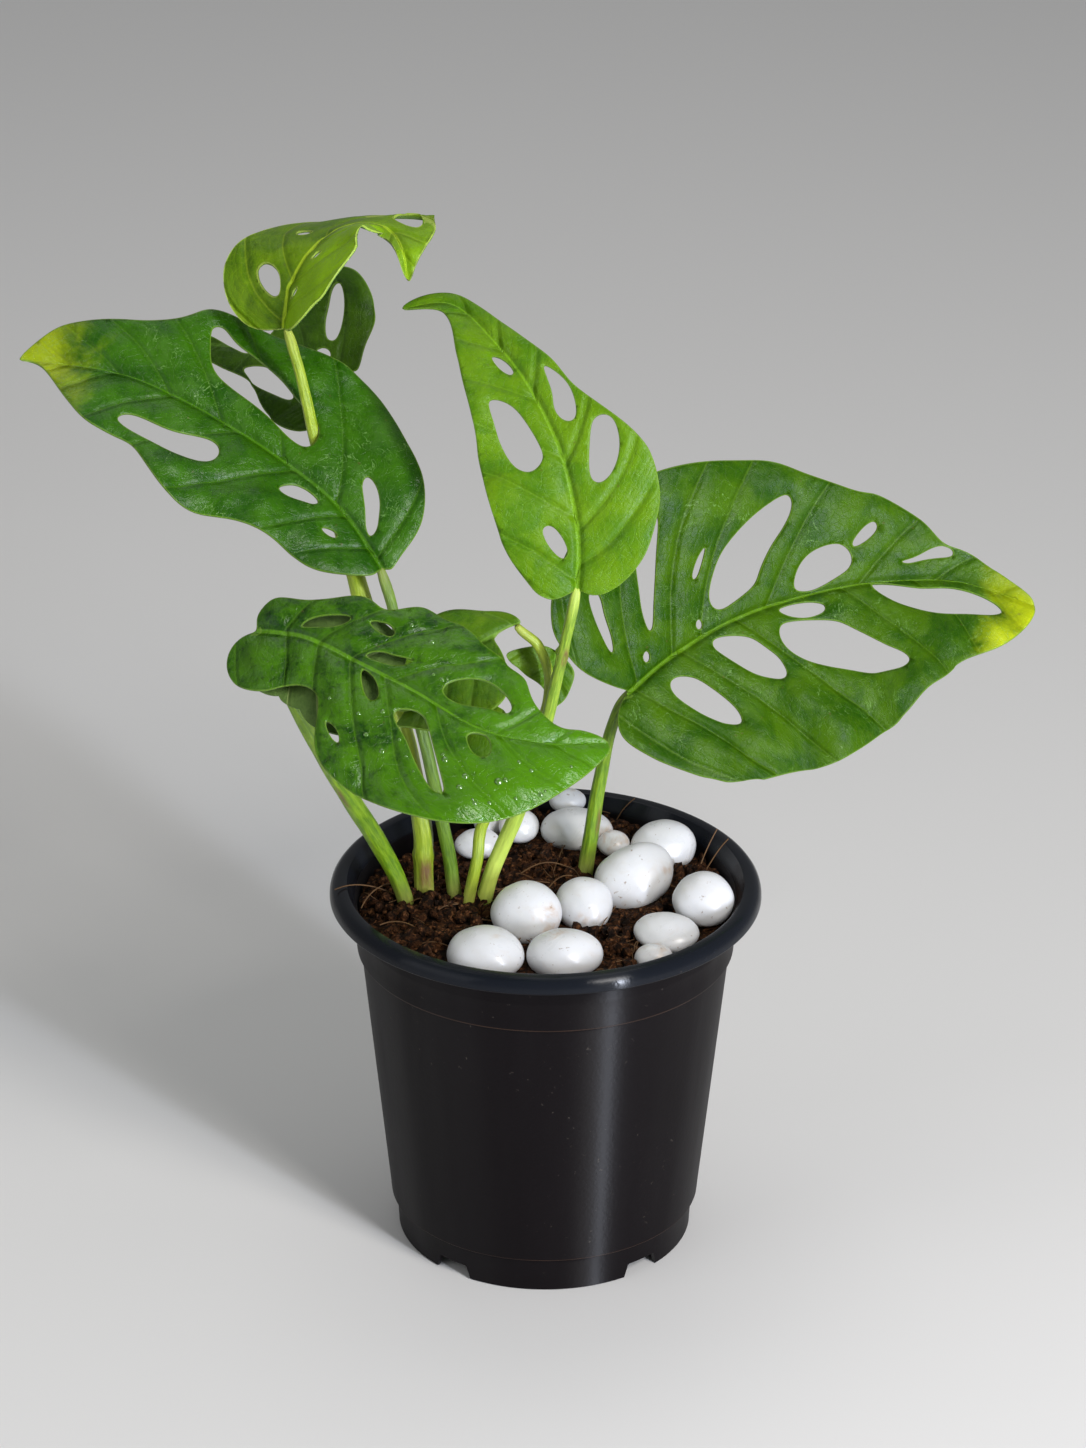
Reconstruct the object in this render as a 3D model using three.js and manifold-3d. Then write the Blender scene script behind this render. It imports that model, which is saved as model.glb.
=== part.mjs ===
// Potted broken heart monstera: a climbing plant with holed leaves in a small black nursery pot.
// Millimetres, +Z up. The pot stands on the plane z = 0, and the plant faces the viewer at -Y.

import * as THREE from 'three';
import * as BufferGeometryUtils from 'three/addons/utils/BufferGeometryUtils.js';
import Module from 'manifold-3d';

const wasm = await Module();
wasm.setup();

// Pot
const POT_HEIGHT = 118.5;
const RIM_RADIUS = 66;
const RIM_DROP = 4.7;
const MOUTH_RADIUS = 60.5;
const BAND_TOP_RADIUS = 58.9;
const LEDGE_HEIGHT = 97;
const LEDGE_RADIUS = 57.7;
const WALL_TOP_RADIUS = 56.6;
const WALL_BOTTOM_RADIUS = 47.9;
const STEP_HEIGHT = 11.7;
const FOOT_RADIUS = 45.7;
const POT_WALL = 1.3;
const FLOOR_TOP = 9;
const FLOOR_THICKNESS = 1.4;
const NOTCH_HEIGHT = 4.7;
const NOTCH_HALF_ANGLE = 10;
const NOTCH_SLOPE = 3;
const NOTCH_PLACES = [-38, 41, 142, 221];
const DRAIN_RADIUS = 4;
const DRAIN_CIRCLE = 33;
const DRAIN_COUNT = 6;
const POT_SIDES = 40;

// Soil, stems and blades
const CLEARANCE = 0.3;
const SOIL_LEVEL = 110;
const STEM_SIDES = 8;
const BLADE_THICKNESS = 0.9;
const RIB_THICKNESS = 1.1;
const RIB_HALF_WIDTH = 1.5;
const MARGIN_STEP = 4.4;
const HOLE_STEP = 3.4;
const RIB_STEP = 7;

// The middle of the whole plant stands over the frame's origin.
const SHIFT_X = 3.6;
const SHIFT_Y = -6.3;

const finishes = {
  pot: { color: 0x17181a, roughness: 0.42, metalness: 0 },
  soil: { color: 0x33241b, roughness: 0.95, metalness: 0 },
  pebble: { color: 0xe9e7e0, roughness: 0.35, metalness: 0 },
  deepLeaf: { color: 0x2f6b22, roughness: 0.38, metalness: 0 },
  youngLeaf: { color: 0x7fb23c, roughness: 0.4, metalness: 0 },
  darkLeaf: { color: 0x24531f, roughness: 0.4, metalness: 0 },
  stalk: { color: 0x9db665, roughness: 0.45, metalness: 0 },
  darkStalk: { color: 0x5f7f3a, roughness: 0.5, metalness: 0 },
};

const plant = new THREE.Group();
plant.position.set(SHIFT_X, SHIFT_Y, 0);

function place(name, geometry, finish) {
  const mesh = new THREE.Mesh(geometry, new THREE.MeshStandardMaterial(finishes[finish]));
  mesh.name = name;
  plant.add(mesh);
}

// Solids

function welded(geometry) {
  const bare = geometry.clone();
  bare.deleteAttribute('normal');
  bare.deleteAttribute('uv');
  const merged = BufferGeometryUtils.mergeVertices(bare, 1e-4);
  const index = merged.getIndex().array;
  const kept = [];
  for (let i = 0; i < index.length; i += 3) {
    const [a, b, c] = [index[i], index[i + 1], index[i + 2]];
    if (a !== b && b !== c && a !== c) kept.push(a, b, c);
  }
  merged.setIndex(kept);
  return merged;
}

function toSolid(geometry) {
  const merged = welded(geometry);
  return new wasm.Manifold(new wasm.Mesh({
    numProp: 3,
    vertProperties: new Float32Array(merged.getAttribute('position').array),
    triVerts: new Uint32Array(merged.getIndex().array),
  }));
}

function toGeometry(solid) {
  const mesh = solid.getMesh();
  const geometry = new THREE.BufferGeometry();
  geometry.setAttribute('position', new THREE.BufferAttribute(new Float32Array(mesh.vertProperties), 3));
  geometry.setIndex(new THREE.BufferAttribute(new Uint32Array(mesh.triVerts), 1));
  geometry.computeVertexNormals();
  return geometry;
}

function cut(geometry, cutters) {
  let solid = toSolid(geometry);
  for (const cutter of cutters) solid = solid.subtract(toSolid(cutter));
  return toGeometry(solid);
}

function turned(profile, sides) {
  const points = profile.map(([radius, height]) => new THREE.Vector2(radius, height));
  return new THREE.LatheGeometry(points, sides).rotateX(Math.PI / 2);
}

// Pot: one thin moulded wall with a rim turned down, a band, a ledge, a foot step and a foot ring

const INNER_WALL_TOP = WALL_TOP_RADIUS - POT_WALL;
const INNER_WALL_BOTTOM = WALL_BOTTOM_RADIUS - POT_WALL;

const innerWall = [
  [MOUTH_RADIUS, POT_HEIGHT - 0.3],
  [MOUTH_RADIUS - 1.7, POT_HEIGHT - 3.2],
  [BAND_TOP_RADIUS - POT_WALL, POT_HEIGHT - 6.5],
  [LEDGE_RADIUS - POT_WALL, LEDGE_HEIGHT + 1.5],
  [INNER_WALL_TOP, LEDGE_HEIGHT - 1],
  [INNER_WALL_BOTTOM, STEP_HEIGHT + 1.5],
  [FOOT_RADIUS - POT_WALL + 0.6, STEP_HEIGHT],
  [FOOT_RADIUS - POT_WALL + 0.4, FLOOR_TOP],
];

function potProfile() {
  const floorBottom = FLOOR_TOP - FLOOR_THICKNESS;
  return [
    [0, floorBottom],
    [FOOT_RADIUS - POT_WALL - 0.4, floorBottom],
    [FOOT_RADIUS - POT_WALL - 0.8, 0],
    [FOOT_RADIUS, 0],
    [FOOT_RADIUS + 0.7, STEP_HEIGHT - 0.3],
    [WALL_BOTTOM_RADIUS - 0.4, STEP_HEIGHT],
    [WALL_BOTTOM_RADIUS, STEP_HEIGHT + 0.8],
    [WALL_TOP_RADIUS, LEDGE_HEIGHT],
    [LEDGE_RADIUS, LEDGE_HEIGHT],
    [BAND_TOP_RADIUS, POT_HEIGHT - 5.6],
    [BAND_TOP_RADIUS + 1.2, POT_HEIGHT - 2.6],
    [RIM_RADIUS - 2.2, POT_HEIGHT - 1.8],
    [RIM_RADIUS - 1.2, POT_HEIGHT - RIM_DROP],
    [RIM_RADIUS, POT_HEIGHT - RIM_DROP],
    [RIM_RADIUS - 0.5, POT_HEIGHT - 1.9],
    [RIM_RADIUS - 1.4, POT_HEIGHT - 0.6],
    [RIM_RADIUS - 2.6, POT_HEIGHT],
    [MOUTH_RADIUS + 0.5, POT_HEIGHT],
    ...innerWall,
    [0, FLOOR_TOP],
  ];
}

function footNotch(degrees) {
  const depth = 8;
  const halfWidth = FOOT_RADIUS * Math.sin(THREE.MathUtils.degToRad(NOTCH_HALF_ANGLE));
  const outline = new THREE.Shape([
    new THREE.Vector2(-halfWidth, -1),
    new THREE.Vector2(halfWidth, -1),
    new THREE.Vector2(halfWidth - NOTCH_SLOPE, NOTCH_HEIGHT),
    new THREE.Vector2(NOTCH_SLOPE - halfWidth, NOTCH_HEIGHT),
  ]);
  const block = new THREE.ExtrudeGeometry(outline, { depth, bevelEnabled: false });
  block.rotateX(Math.PI / 2);
  block.translate(0, -FOOT_RADIUS + depth / 2 + 1, 0);
  return block.rotateZ(THREE.MathUtils.degToRad(degrees));
}

function drainHole(number) {
  const angle = 2 * Math.PI * (number + 0.5) / DRAIN_COUNT;
  const hole = new THREE.CylinderGeometry(DRAIN_RADIUS, DRAIN_RADIUS, 6, 10).rotateX(Math.PI / 2);
  return hole.translate(DRAIN_CIRCLE * Math.cos(angle), DRAIN_CIRCLE * Math.sin(angle), FLOOR_TOP);
}

const drains = Array.from({ length: DRAIN_COUNT }, (_, number) => drainHole(number));
const notches = NOTCH_PLACES.map(footNotch);
place('pot', cut(turned(potProfile(), POT_SIDES), [...notches, ...drains]), 'pot');

// Stems and leaf stalks: round tubes along smooth curves, thicker at the foot

function stalk(points, radii, swell = 0) {
  const path = new THREE.CatmullRomCurve3(points.map((p) => new THREE.Vector3(...p)), false, 'catmullrom', 0.5);
  const steps = Math.max(4, Math.round(path.getLength() / 9));
  const ring = new THREE.Shape();
  for (let i = 0; i < STEM_SIDES; i += 1) {
    const angle = 2 * Math.PI * i / STEM_SIDES;
    if (i === 0) ring.moveTo(1, 0);
    else ring.lineTo(Math.cos(angle), Math.sin(angle));
  }
  ring.closePath();
  const tube = welded(new THREE.ExtrudeGeometry(ring, { steps, extrudePath: path, bevelEnabled: false }));
  const stations = path.getSpacedPoints(steps);
  const position = tube.getAttribute('position');
  const vertex = new THREE.Vector3();
  for (let i = 0; i < position.count; i += 1) {
    vertex.fromBufferAttribute(position, i);
    let nearest = 0;
    stations.forEach((station, k) => {
      if (station.distanceTo(vertex) < stations[nearest].distanceTo(vertex)) nearest = k;
    });
    const where = nearest / steps * (radii.length - 1);
    const low = Math.min(Math.floor(where), radii.length - 2);
    const radius = THREE.MathUtils.lerp(radii[low], radii[low + 1], where - low) + swell;
    vertex.sub(stations[nearest]).multiplyScalar(radius).add(stations[nearest]);
    position.setXYZ(i, vertex.x, vertex.y, vertex.z);
  }
  return tube;
}

const stems = {
  stem_front: [
    { points: [[-42, -1, 100], [-43, -3.5, 114], [-49.4, -6, 131.2], [-59.7, -13, 153.9], [-66.7, -19, 170.5],
      [-72.8, -22, 184.5], [-78.1, -23, 196.2], [-82.5, -24.5, 206], [-84.7, -29.9, 214.6]],
    radii: [2.4, 2.5, 2.9, 2.9, 2.8, 2.5, 2, 1.4] },
  ],
  stem_main: [
    { points: [[-36.5, 1, 100], [-37, 2, 110], [-37.4, 3, 123.5], [-37.8, 4, 136.2], [-42.8, 9, 161.2],
      [-50.3, 15, 185], [-56, 20, 204], [-58.8, 25, 212], [-64.8, 34.5, 227.6], [-69.7, 40, 244.9],
      [-72.4, 40.6, 258.3], [-75.1, 42, 270.6], [-79, 43.7, 280.3]],
    radii: [3, 3, 3, 3.1, 3.3, 3, 2.2, 1.9, 1.7, 1.4] },
    { points: [[-55, 18.5, 202], [-57, 25, 206], [-58.2, 42, 216.2], [-60.6, 62, 229], [-63, 75, 240],
      [-65, 81.6, 251.4]],
    radii: [1.6, 1.6, 1.5, 1.4, 1.3] },
  ],
  stem_left: [
    { points: [[-26.5, 1.5, 100], [-27.4, 0, 109.5], [-29.2, 0, 124.9], [-31.5, 0, 138.2], [-35.7, 1, 160],
      [-40.4, 4, 180.2], [-45.2, 9, 200.4], [-48.6, 12.2, 214.6]],
    radii: [2.4, 2.1, 2, 1.9, 1.7, 1.5] },
  ],
  stem_inner: [
    { points: [[-26, -4.5, 100], [-24.3, -5, 109.7], [-20.9, -3, 126.5], [-19.1, 0, 137.6], [-10, 1, 155],
      [-1.6, 0, 171.6], [0.8, -0.5, 182.6], [0.2, -0.5, 190.1], [-2.6, 0, 197.4], [-5.9, 0, 204.6]],
    radii: [1.9, 1.8, 1.8, 1.6, 1.5, 1.4] },
  ],
  stem_middle: [
    { points: [[-20.5, 0.5, 100], [-19.4, -1, 109], [-15.7, -2, 124], [-9.3, -4, 141.3], [-3.3, -5, 159.7],
      [0.8, -6, 177.8], [3.7, -7, 192.1], [5.7, -8, 202.4], [7.8, -8.5, 213], [8.8, -7.9, 217.4]],
    radii: [2.6, 2.4, 2.4, 2, 1.9, 1.7, 1.4] },
    { points: [[4.6, -7.2, 196.6], [5.2, -2, 196.6], [4.6, 4, 195], [3.1, 8.4, 192.6]],
    radii: [1.1, 1, 0.9] },
  ],
  stem_right: [
    { points: [[10.5, 15.5, 100], [11.6, 16.5, 108], [12.8, 18, 116], [14.2, 19, 126.2], [16.3, 20.5, 140.6],
      [19.2, 21, 156.6], [22, 20.5, 166.4], [24.7, 18.4, 172.8]],
    radii: [2.6, 2.4, 2.3, 2.1, 1.8, 1.4] },
  ],
};

function stemGeometry(branches, swell) {
  let solid = toSolid(stalk(branches[0].points, branches[0].radii, swell));
  for (const branch of branches.slice(1)) solid = solid.add(toSolid(stalk(branch.points, branch.radii, swell)));
  return toGeometry(solid);
}

for (const [name, branches] of Object.entries(stems)) {
  place(name, stemGeometry(branches, 0), name === 'stem_left' ? 'darkStalk' : 'stalk');
}

// Pebbles: flattened round stones. lean tips a stone's flat side towards the viewer, roll turns it in that plane.

const pebbles = [
  { at: [-6.2, -17.6, 116], size: [21.3, 21.5, 15], lean: 38, roll: 0 },
  { at: [11.6, -7.7, 113.5], size: [18.6, 18, 13], lean: 30, roll: 15 },
  { at: [-17.7, -39.7, 114], size: [24.5, 20, 14], lean: 12, roll: -8 },
  { at: [6.2, -40.1, 114], size: [22.8, 19, 13.5], lean: 12, roll: 5 },
  { at: [27.6, 6.6, 116], size: [26.5, 21, 15], lean: 38, roll: 33 },
  { at: [36.5, 29, 115.5], size: [21, 18, 14], lean: 30, roll: 10 },
  { at: [47.6, -9.8, 117], size: [18.6, 18.6, 13], lean: 42, roll: 0 },
  { at: [36.1, -24.5, 113], size: [20.4, 16, 9], lean: 12, roll: -12 },
  { at: [32.5, -37.4, 111.5], size: [12.5, 8.6, 8.5], lean: 5, roll: 0 },
  { at: [10.1, 39.3, 116], size: [22.8, 17, 11.5], lean: 14, roll: -4 },
  { at: [7, 51, 120], size: [11.6, 9, 7.5], lean: 20, roll: 0 },
  { at: [-8.4, 39.3, 117], size: [13, 12, 9], lean: 30, roll: 0 },
  { at: [-21.4, 33, 114], size: [14.4, 12, 8], lean: 20, roll: 8 },
  { at: [20.9, 28, 116.5], size: [10, 9.5, 7.5], lean: 20, roll: 0 },
  { at: [-17, 46, 115], size: [12, 10, 8], lean: 15, roll: 20 },
];

function pebbleGeometry({ at, size, lean, roll }, number, swell = 0) {
  const stone = welded(new THREE.IcosahedronGeometry(1, 2));
  const position = stone.getAttribute('position');
  const vertex = new THREE.Vector3();
  for (let i = 0; i < position.count; i += 1) {
    vertex.fromBufferAttribute(position, i);
    const lumps = 1 + 0.04 * Math.sin(2.1 * vertex.x + number) + 0.035 * Math.cos(2.7 * vertex.y - 2 * number);
    vertex.multiplyScalar(lumps);
    position.setXYZ(i, vertex.x, vertex.y, vertex.z);
  }
  stone.scale(size[0] / 2 + swell, size[1] / 2 + swell, size[2] / 2 + swell);
  stone.rotateZ(THREE.MathUtils.degToRad(roll));
  stone.rotateX(THREE.MathUtils.degToRad(lean));
  return stone.translate(...at);
}

pebbles.forEach((pebble, number) => {
  place(`pebble_${String(number + 1).padStart(2, '0')}`, pebbleGeometry(pebble, number), 'pebble');
});

// Soil: fills the pot, heaped round the stems and towards the back, with holes for the stems and dimples
// where the pebbles lie

function bump(x, y, centreX, centreY, spread) {
  return Math.exp(-((x - centreX) ** 2 + (y - centreY) ** 2) / spread ** 2);
}

function soilHeight(x, y) {
  const heaps = 2.2 * bump(x, y, -32, -6, 20) + 2.5 * bump(x, y, -38, -34, 16) + 5 * bump(x, y, 8, 50, 22)
    + 1.5 * bump(x, y, 42, 12, 18) - 3 * bump(x, y, -38, 36, 18);
  const crumbs = 0.7 * Math.sin(0.31 * x + 1) * Math.cos(0.27 * y) + 0.5 * Math.sin(0.53 * x - 0.4 * y);
  return SOIL_LEVEL + heaps + crumbs;
}

function soilGeometry() {
  const surface = 6;
  const side = innerWall.filter(([, height]) => height < SOIL_LEVEL && height > FLOOR_TOP);
  const wallTop = BAND_TOP_RADIUS - POT_WALL - 0.2 - CLEARANCE;
  const profile = [[0, FLOOR_TOP + CLEARANCE], [FOOT_RADIUS - POT_WALL, FLOOR_TOP + CLEARANCE]];
  for (const [radius, height] of side.reverse()) profile.push([radius - CLEARANCE, height + CLEARANCE]);
  for (let ring = surface; ring > 0; ring -= 1) profile.push([wallTop * ring / surface, SOIL_LEVEL]);
  profile.push([0, SOIL_LEVEL]);
  const soil = turned(profile, POT_SIDES);
  const position = soil.getAttribute('position');
  for (let i = 0; i < position.count; i += 1) {
    if (position.getZ(i) > SOIL_LEVEL - 0.01) {
      const radius = Math.hypot(position.getX(i), position.getY(i));
      const height = soilHeight(position.getX(i), position.getY(i));
      position.setZ(i, radius > wallTop - 1 ? Math.min(height, POT_HEIGHT - 7) : height);
    }
  }
  return soil;
}

const stemCutters = Object.values(stems).map((branches) => stemGeometry(branches, CLEARANCE));
const pebbleCutters = pebbles.map((pebble, number) => pebbleGeometry(pebble, number, CLEARANCE));
place('soil', cut(soilGeometry(), [...stemCutters, ...pebbleCutters]), 'soil');

// Leaves. Each blade is drawn flat: the first number runs from the base to the tip along the midrib, the
// second across it, positive to the left of someone who looks from base to tip. The blade is then laid on
// its midrib in space. face is the way its upper side looks, from base to tip. fold lifts the left and the
// right half from the midrib, in degrees, at the base and, where it changes, at the tip. curl bends each
// half across, in radians a millimetre. ripple waves the margin: height, length and start of the waves.
// half is the half width at which the waves have their height, and grid is the spacing of inner points.

const leaves = {
  leaf_left: {
    finish: 'deepLeaf',
    rib: [[-49, 12, 216], [-60, 22, 229], [-73, 29, 239], [-98, 38, 253], [-127, 45, 265], [-160, 46, 270]],
    face: [[0.19, -0.72, 0.67], [0.23, -0.6, 0.77], [0.08, -0.52, 0.85]],
    fold: [13, 13], curl: -0.007, ripple: [2.2, 38, 0.5], half: 36, grid: 8.5,
    outline: [[1, 0], [-2, -1], [0, -5], [6, -17], [18.5, -27], [23, -28.5], [34, -35.5], [40, -37],
      [45, -37], [49, -37.5], [53, -36.5], [67.5, -35], [74.5, -34.5], [86.5, -31.5], [90.5, -26],
      [94, -22.5], [101, -19], [107, -18], [116, -15], [123.5, -11], [133, 0.5], [126.5, 0.5],
      [116.5, 14.5], [108.5, 22], [97, 23.5], [87.5, 24], [80.5, 28], [72, 32.5], [65, 34], [56.5, 33],
      [45.5, 28.5], [35, 25.5], [14.5, 22], [7, 17], [-0.5, 3]],
    holes: [
      [[84.5, -26], [82.5, -20.5], [80, -15.5], [76.5, -12.5], [70, -11], [62.5, -10], [56.5, -9],
        [47.5, -7], [42, -8], [42, -13.5], [45.5, -17], [53, -18.5], [60, -21.5], [70, -24.5],
        [77.5, -25.5], [81.5, -28]],
      [[97.5, 17.5], [95, 14.5], [90, 13.5], [78.5, 13], [67.5, 8.5], [63, 9.5], [62, 14], [64.5, 17],
        [69, 19], [76.5, 20.5], [91, 19.5]],
      [[41.5, 10], [38.5, 5], [34.5, 3.5], [29, 3.5], [28, 5.5], [32, 7.5], [37, 10]],
      [[25.5, -13.5], [22, -13.2], [18, -11], [15, -8], [11, -4.5], [10.5, -1.6], [14, -2.6], [20, -7],
        [24.5, -10]],
      [[22, 10], [20, 7.7], [15.5, 6.3], [14.5, 7.5], [18, 9.8]],
    ],
  },
  leaf_middle: {
    finish: 'deepLeaf',
    rib: [[9, -8, 218], [9, -2, 235], [4, 7, 256], [-6, 19, 273], [-17, 31, 283], [-29, 43, 289],
      [-45, 44, 287]],
    face: [[0, -0.96, 0.29], [-0.1, -0.9, 0.43], [-0.09, -0.61, 0.78], [-0.12, -0.21, 0.97]],
    fold: [8, 8], curl: -0.008, ripple: [1.6, 34, 1], half: 26, grid: 8,
    outline: [[1, 0], [-2.5, 5.5], [-2, 10], [0.5, 13], [10, 21], [23.5, 23.5], [37, 24.5], [50, 23.5],
      [59, 20.5], [77, 15.5], [94, 7], [105, 3.5], [112, 1.5], [118, -0.5], [112, -3.5], [103, -4],
      [96.5, -4], [76.5, -7.5], [66.5, -10.5], [58.5, -11.5], [50, -16], [42.5, -21.5], [37.5, -25],
      [32.5, -26], [23, -25.5], [16.5, -22.5], [11, -19.5], [1.5, -11.5], [-1.5, -5]],
    holes: [
      [[79, 4], [76.5, 2], [72.5, 1], [68.5, 1.5], [69.5, 3], [73.5, 4.5]],
      [[67.5, -7], [62.5, -6], [58, -5], [53, -3], [48, -6.5], [51.5, -9.5], [59.5, -10.5]],
      [[66.5, 12.5], [63, 8.5], [58.5, 6.5], [43.5, 5], [40.5, 6.5], [38.5, 9.5], [39.5, 12.5], [44.5, 15],
        [52, 15.5], [58, 14.5]],
      [[47, -12.5], [46.5, -17.5], [43.5, -18.5], [40, -18], [36, -16], [32, -12.5], [30.5, -9.5],
        [30.5, -7], [33.5, -6.5], [39, -8]],
      [[20.5, 10.5], [21.5, 9], [20, 6.5], [13.5, 3.5], [10.5, 3], [9, 4.5], [10.5, 6.5], [15, 9.5]],
    ],
  },
  leaf_right: {
    finish: 'deepLeaf',
    rib: [[25, 18, 173], [38, 29, 180], [58, 42, 187], [80, 53, 190], [102, 61, 191], [128, 66, 189],
      [153, 63, 182]],
    face: [[0.38, -0.78, 0.49], [0.32, -0.8, 0.51], [0.05, -0.74, 0.67]],
    fold: [16, 16], curl: -0.0035, ripple: [2, 44, 0.4], half: 48, grid: 9,
    outline: [[1, 0], [-1.5, 2.5], [-6.5, 9.5], [-10, 16], [-11, 21.5], [-11.5, 30], [-8, 37], [-2.5, 42.5],
      [17, 50.5], [29, 52.5], [37.5, 52.5], [56, 46.5], [65, 44], [71, 40.5], [76, 36.5], [88.5, 28.5],
      [94.5, 27], [107.5, 18], [112.5, 11.5], [119.5, 10], [125.5, 7], [131.5, 5.5], [144, -0],
      [138.5, -16.5], [126.5, -26.5], [112.5, -33], [101.5, -37], [89.5, -46], [79, -48.5], [65.5, -51.5],
      [53, -53], [37.5, -51.5], [8, -43.5], [1.5, -36], [-4, -27.5], [-8, -20.5], [-11.5, -8.5], [-5, -1]],
    holes: [
      [[28.5, 42], [33.5, 41], [27, 27.5], [20.5, 16.5], [16, 9.5], [16.5, 16.5], [19, 24], [23, 33.5]],
      [[42, 25.5], [39, 20.5], [35.5, 16.5], [34, 17], [36, 20], [39, 23.5]],
      [[69, 32.5], [69.5, 28.5], [65.5, 23], [60, 18], [55, 12], [52.5, 8], [46, 5.5], [39, 4.5], [37, 8],
        [38, 11.5], [42, 17.5], [46, 22], [54.5, 27.5], [62.5, 31]],
      [[82, 13.5], [84, 11.5], [85, 7], [82, 4.5], [71, 1], [65, 2.5], [64.5, 4], [66.5, 8.5], [71, 12.5],
        [77.5, 14]],
      [[92.5, 19.5], [94, 18], [92.5, 15.5], [88.5, 12.5], [85, 11.5], [84.5, 12.5], [89.5, 18]],
      [[99.5, 6], [104.5, 7], [109.5, 10], [113.5, 11], [117, 8.5], [115, 7.5], [108, 6.5], [101.5, 5]],
      [[89.5, -0.5], [96, -1], [106, -3], [115.5, -2.5], [124.5, -3], [130.5, -4], [135, -6], [130.5, -9],
        [118.5, -11.5], [108.5, -11.5], [99, -8.5], [93.5, -5]],
      [[57, -2], [60.5, -1.5], [67, -2], [72, -3.5], [74, -5.5], [70.5, -7], [65, -7], [60, -5]],
      [[54.5, -9], [58, -6.5], [74, -10], [80.5, -14.5], [88.5, -20], [95.5, -24], [98, -26.5], [95, -29],
        [87.5, -29.5], [80, -29], [64, -22.5], [57.5, -18], [54.5, -13.5]],
      [[31.5, -4.5], [34.5, -2.5], [44.5, -7], [48, -12], [51, -16.5], [51.5, -22], [49.5, -23.5],
        [42.5, -20.5], [37.5, -16]],
      [[12, -6], [14.5, -5.5], [18.5, -7.5], [21.5, -11], [26, -23.5], [25.5, -28.5], [24, -29.5],
        [19.5, -26.5], [14, -20.5], [11, -13], [10.5, -9]],
      [[12.5, 7], [12.5, 4], [10, 3], [10, 6]],
      [[32, 6], [32.5, 3], [30.5, 2], [30, 4.5]],
      [[6.5, 33.5], [9.5, 31], [7, 24.5], [5, 17.5], [2, 12.5], [1.5, 15.5], [2.5, 23], [4, 28.5]],
    ],
  },
  leaf_front: {
    finish: 'deepLeaf',
    rib: [[-85, -30, 215], [-70, -37, 216], [-54, -48, 213], [-37, -58, 208], [-20, -66, 201],
      [-1, -68, 197], [19, -64, 195]],
    face: [[-0.41, -0.56, 0.72], [0, -0.55, 0.83], [0.22, -0.6, 0.77]],
    fold: [6, 6], curl: -0.01, ripple: [2.2, 36, 2], half: 34, grid: 8,
    outline: [[1, 0], [-1, 4], [1.5, 9.5], [5, 11.5], [12.5, 11], [18.5, 14], [22, 17.5], [25, 18],
      [28, 19], [31.5, 17.5], [35, 19], [39.5, 24.5], [42, 26], [50, 25.5], [54.5, 26.5], [58, 26],
      [61.5, 24], [66, 24], [73, 24], [86.5, 21], [90, 16], [93.5, 11], [102, 5], [108.5, 4.5], [117, 0],
      [113.5, -5], [107, -10.5], [100.5, -15.5], [94.5, -21.5], [82.5, -30.5], [73.5, -34.5], [68, -35.5],
      [53, -35.5], [44, -33], [38, -25.5], [33, -15.5], [28, -13.8], [25, -14], [21, -15.8], [14, -18],
      [8.5, -19.5], [1.5, -19], [-4, -15], [-6, -9], [-4, -3]],
    holes: [
      [[38.5, -21], [43.5, -22], [47, -25.5], [46, -26.5], [42.5, -24.5]],
      [[13.5, 2.5], [17, 7], [26, 11.5], [23.5, 6.5]],
      [[38, -1.2], [42.5, -2], [47, -5.5], [48.5, -9], [45.5, -9.5], [41, -5.5]],
      [[54, -8.5], [58, -6], [63, -5.5], [71.5, -14], [76.5, -23], [76, -26], [72, -22], [63, -14.5],
        [57, -12]],
      [[61.5, 4.5], [61.5, 7], [63, 9.5], [66, 12.5], [70, 14.5], [76, 15], [81, 13.5], [84.5, 11],
        [86, 8.5], [84.5, 7], [81, 7], [76.5, 7], [66.5, 3.5]],
      [[75, -3.5], [76, -2], [81, -1.5], [83, -8], [80, -9.5], [77.5, -7.5]],
      [[36, 2.5], [39.5, 6], [45, 7], [49.5, 9], [49.5, 7], [46, 4]],
      [[30.5, 12.5], [37.5, 15], [40.5, 13], [40.5, 11.5], [36, 11]],
    ],
  },
  leaf_top: {
    finish: 'youngLeaf',
    rib: [[-79.1, 43.9, 279.5], [-77.7, 47.7, 290.2], [-73.4, 51.6, 299.3], [-67.4, 57.5, 304.4],
      [-60.4, 61.2, 307.4], [-53.4, 62.5, 308], [-47.7, 61.7, 305.9], [-43.5, 51.4, 303.5], [-41.8, 46.7, 293.3]],
    face: [[-0.49, -0.33, 0.81], [-0.18, -0.38, 0.91], [-0.21, -0.17, 0.96], [-0.37, 0.07, 0.93],
      [-0.43, -0.01, 0.9], [-0.35, -0.17, 0.92], [-0.25, -0.3, 0.92]],
    fold: [18, 41, -23, -11], curl: -0.006, ripple: [0, 24, 0], half: 22, grid: 7,
    outline: [[1, 0], [-0.2, 7.4], [0.2, 12.4], [4.7, 17.6], [9.1, 21.4], [14, 24.8], [19, 24.8], [25, 23.6],
      [31, 23], [36, 22.5], [40, 21.4], [46, 18.3], [52, 16.2], [55.5, 15.6], [59.5, 12.6], [64, 9.5],
      [68.3, 5], [72.9, 2], [77.4, 0.2], [72.9, -1.4], [68.2, -2], [62, -2.4], [56, -3.2], [53.5, -4.5],
      [52, -7], [50.5, -12], [48, -17.8], [43, -20.2], [38, -21.8], [27.7, -24.3], [23, -23.9], [17.8, -22.8], [9, -19], [3.6, -16.2], [1.3, -13]],
    holes: [
      [[15.2, 13], [16.6, 13.2], [17.5, 11.8], [17.7, 10], [17, 6.3], [15.1, 4.2], [11.7, 2.9], [10, 2.7],
        [9.3, 3.4], [10, 5.6], [11.3, 8.5], [13, 11.3]],
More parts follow.
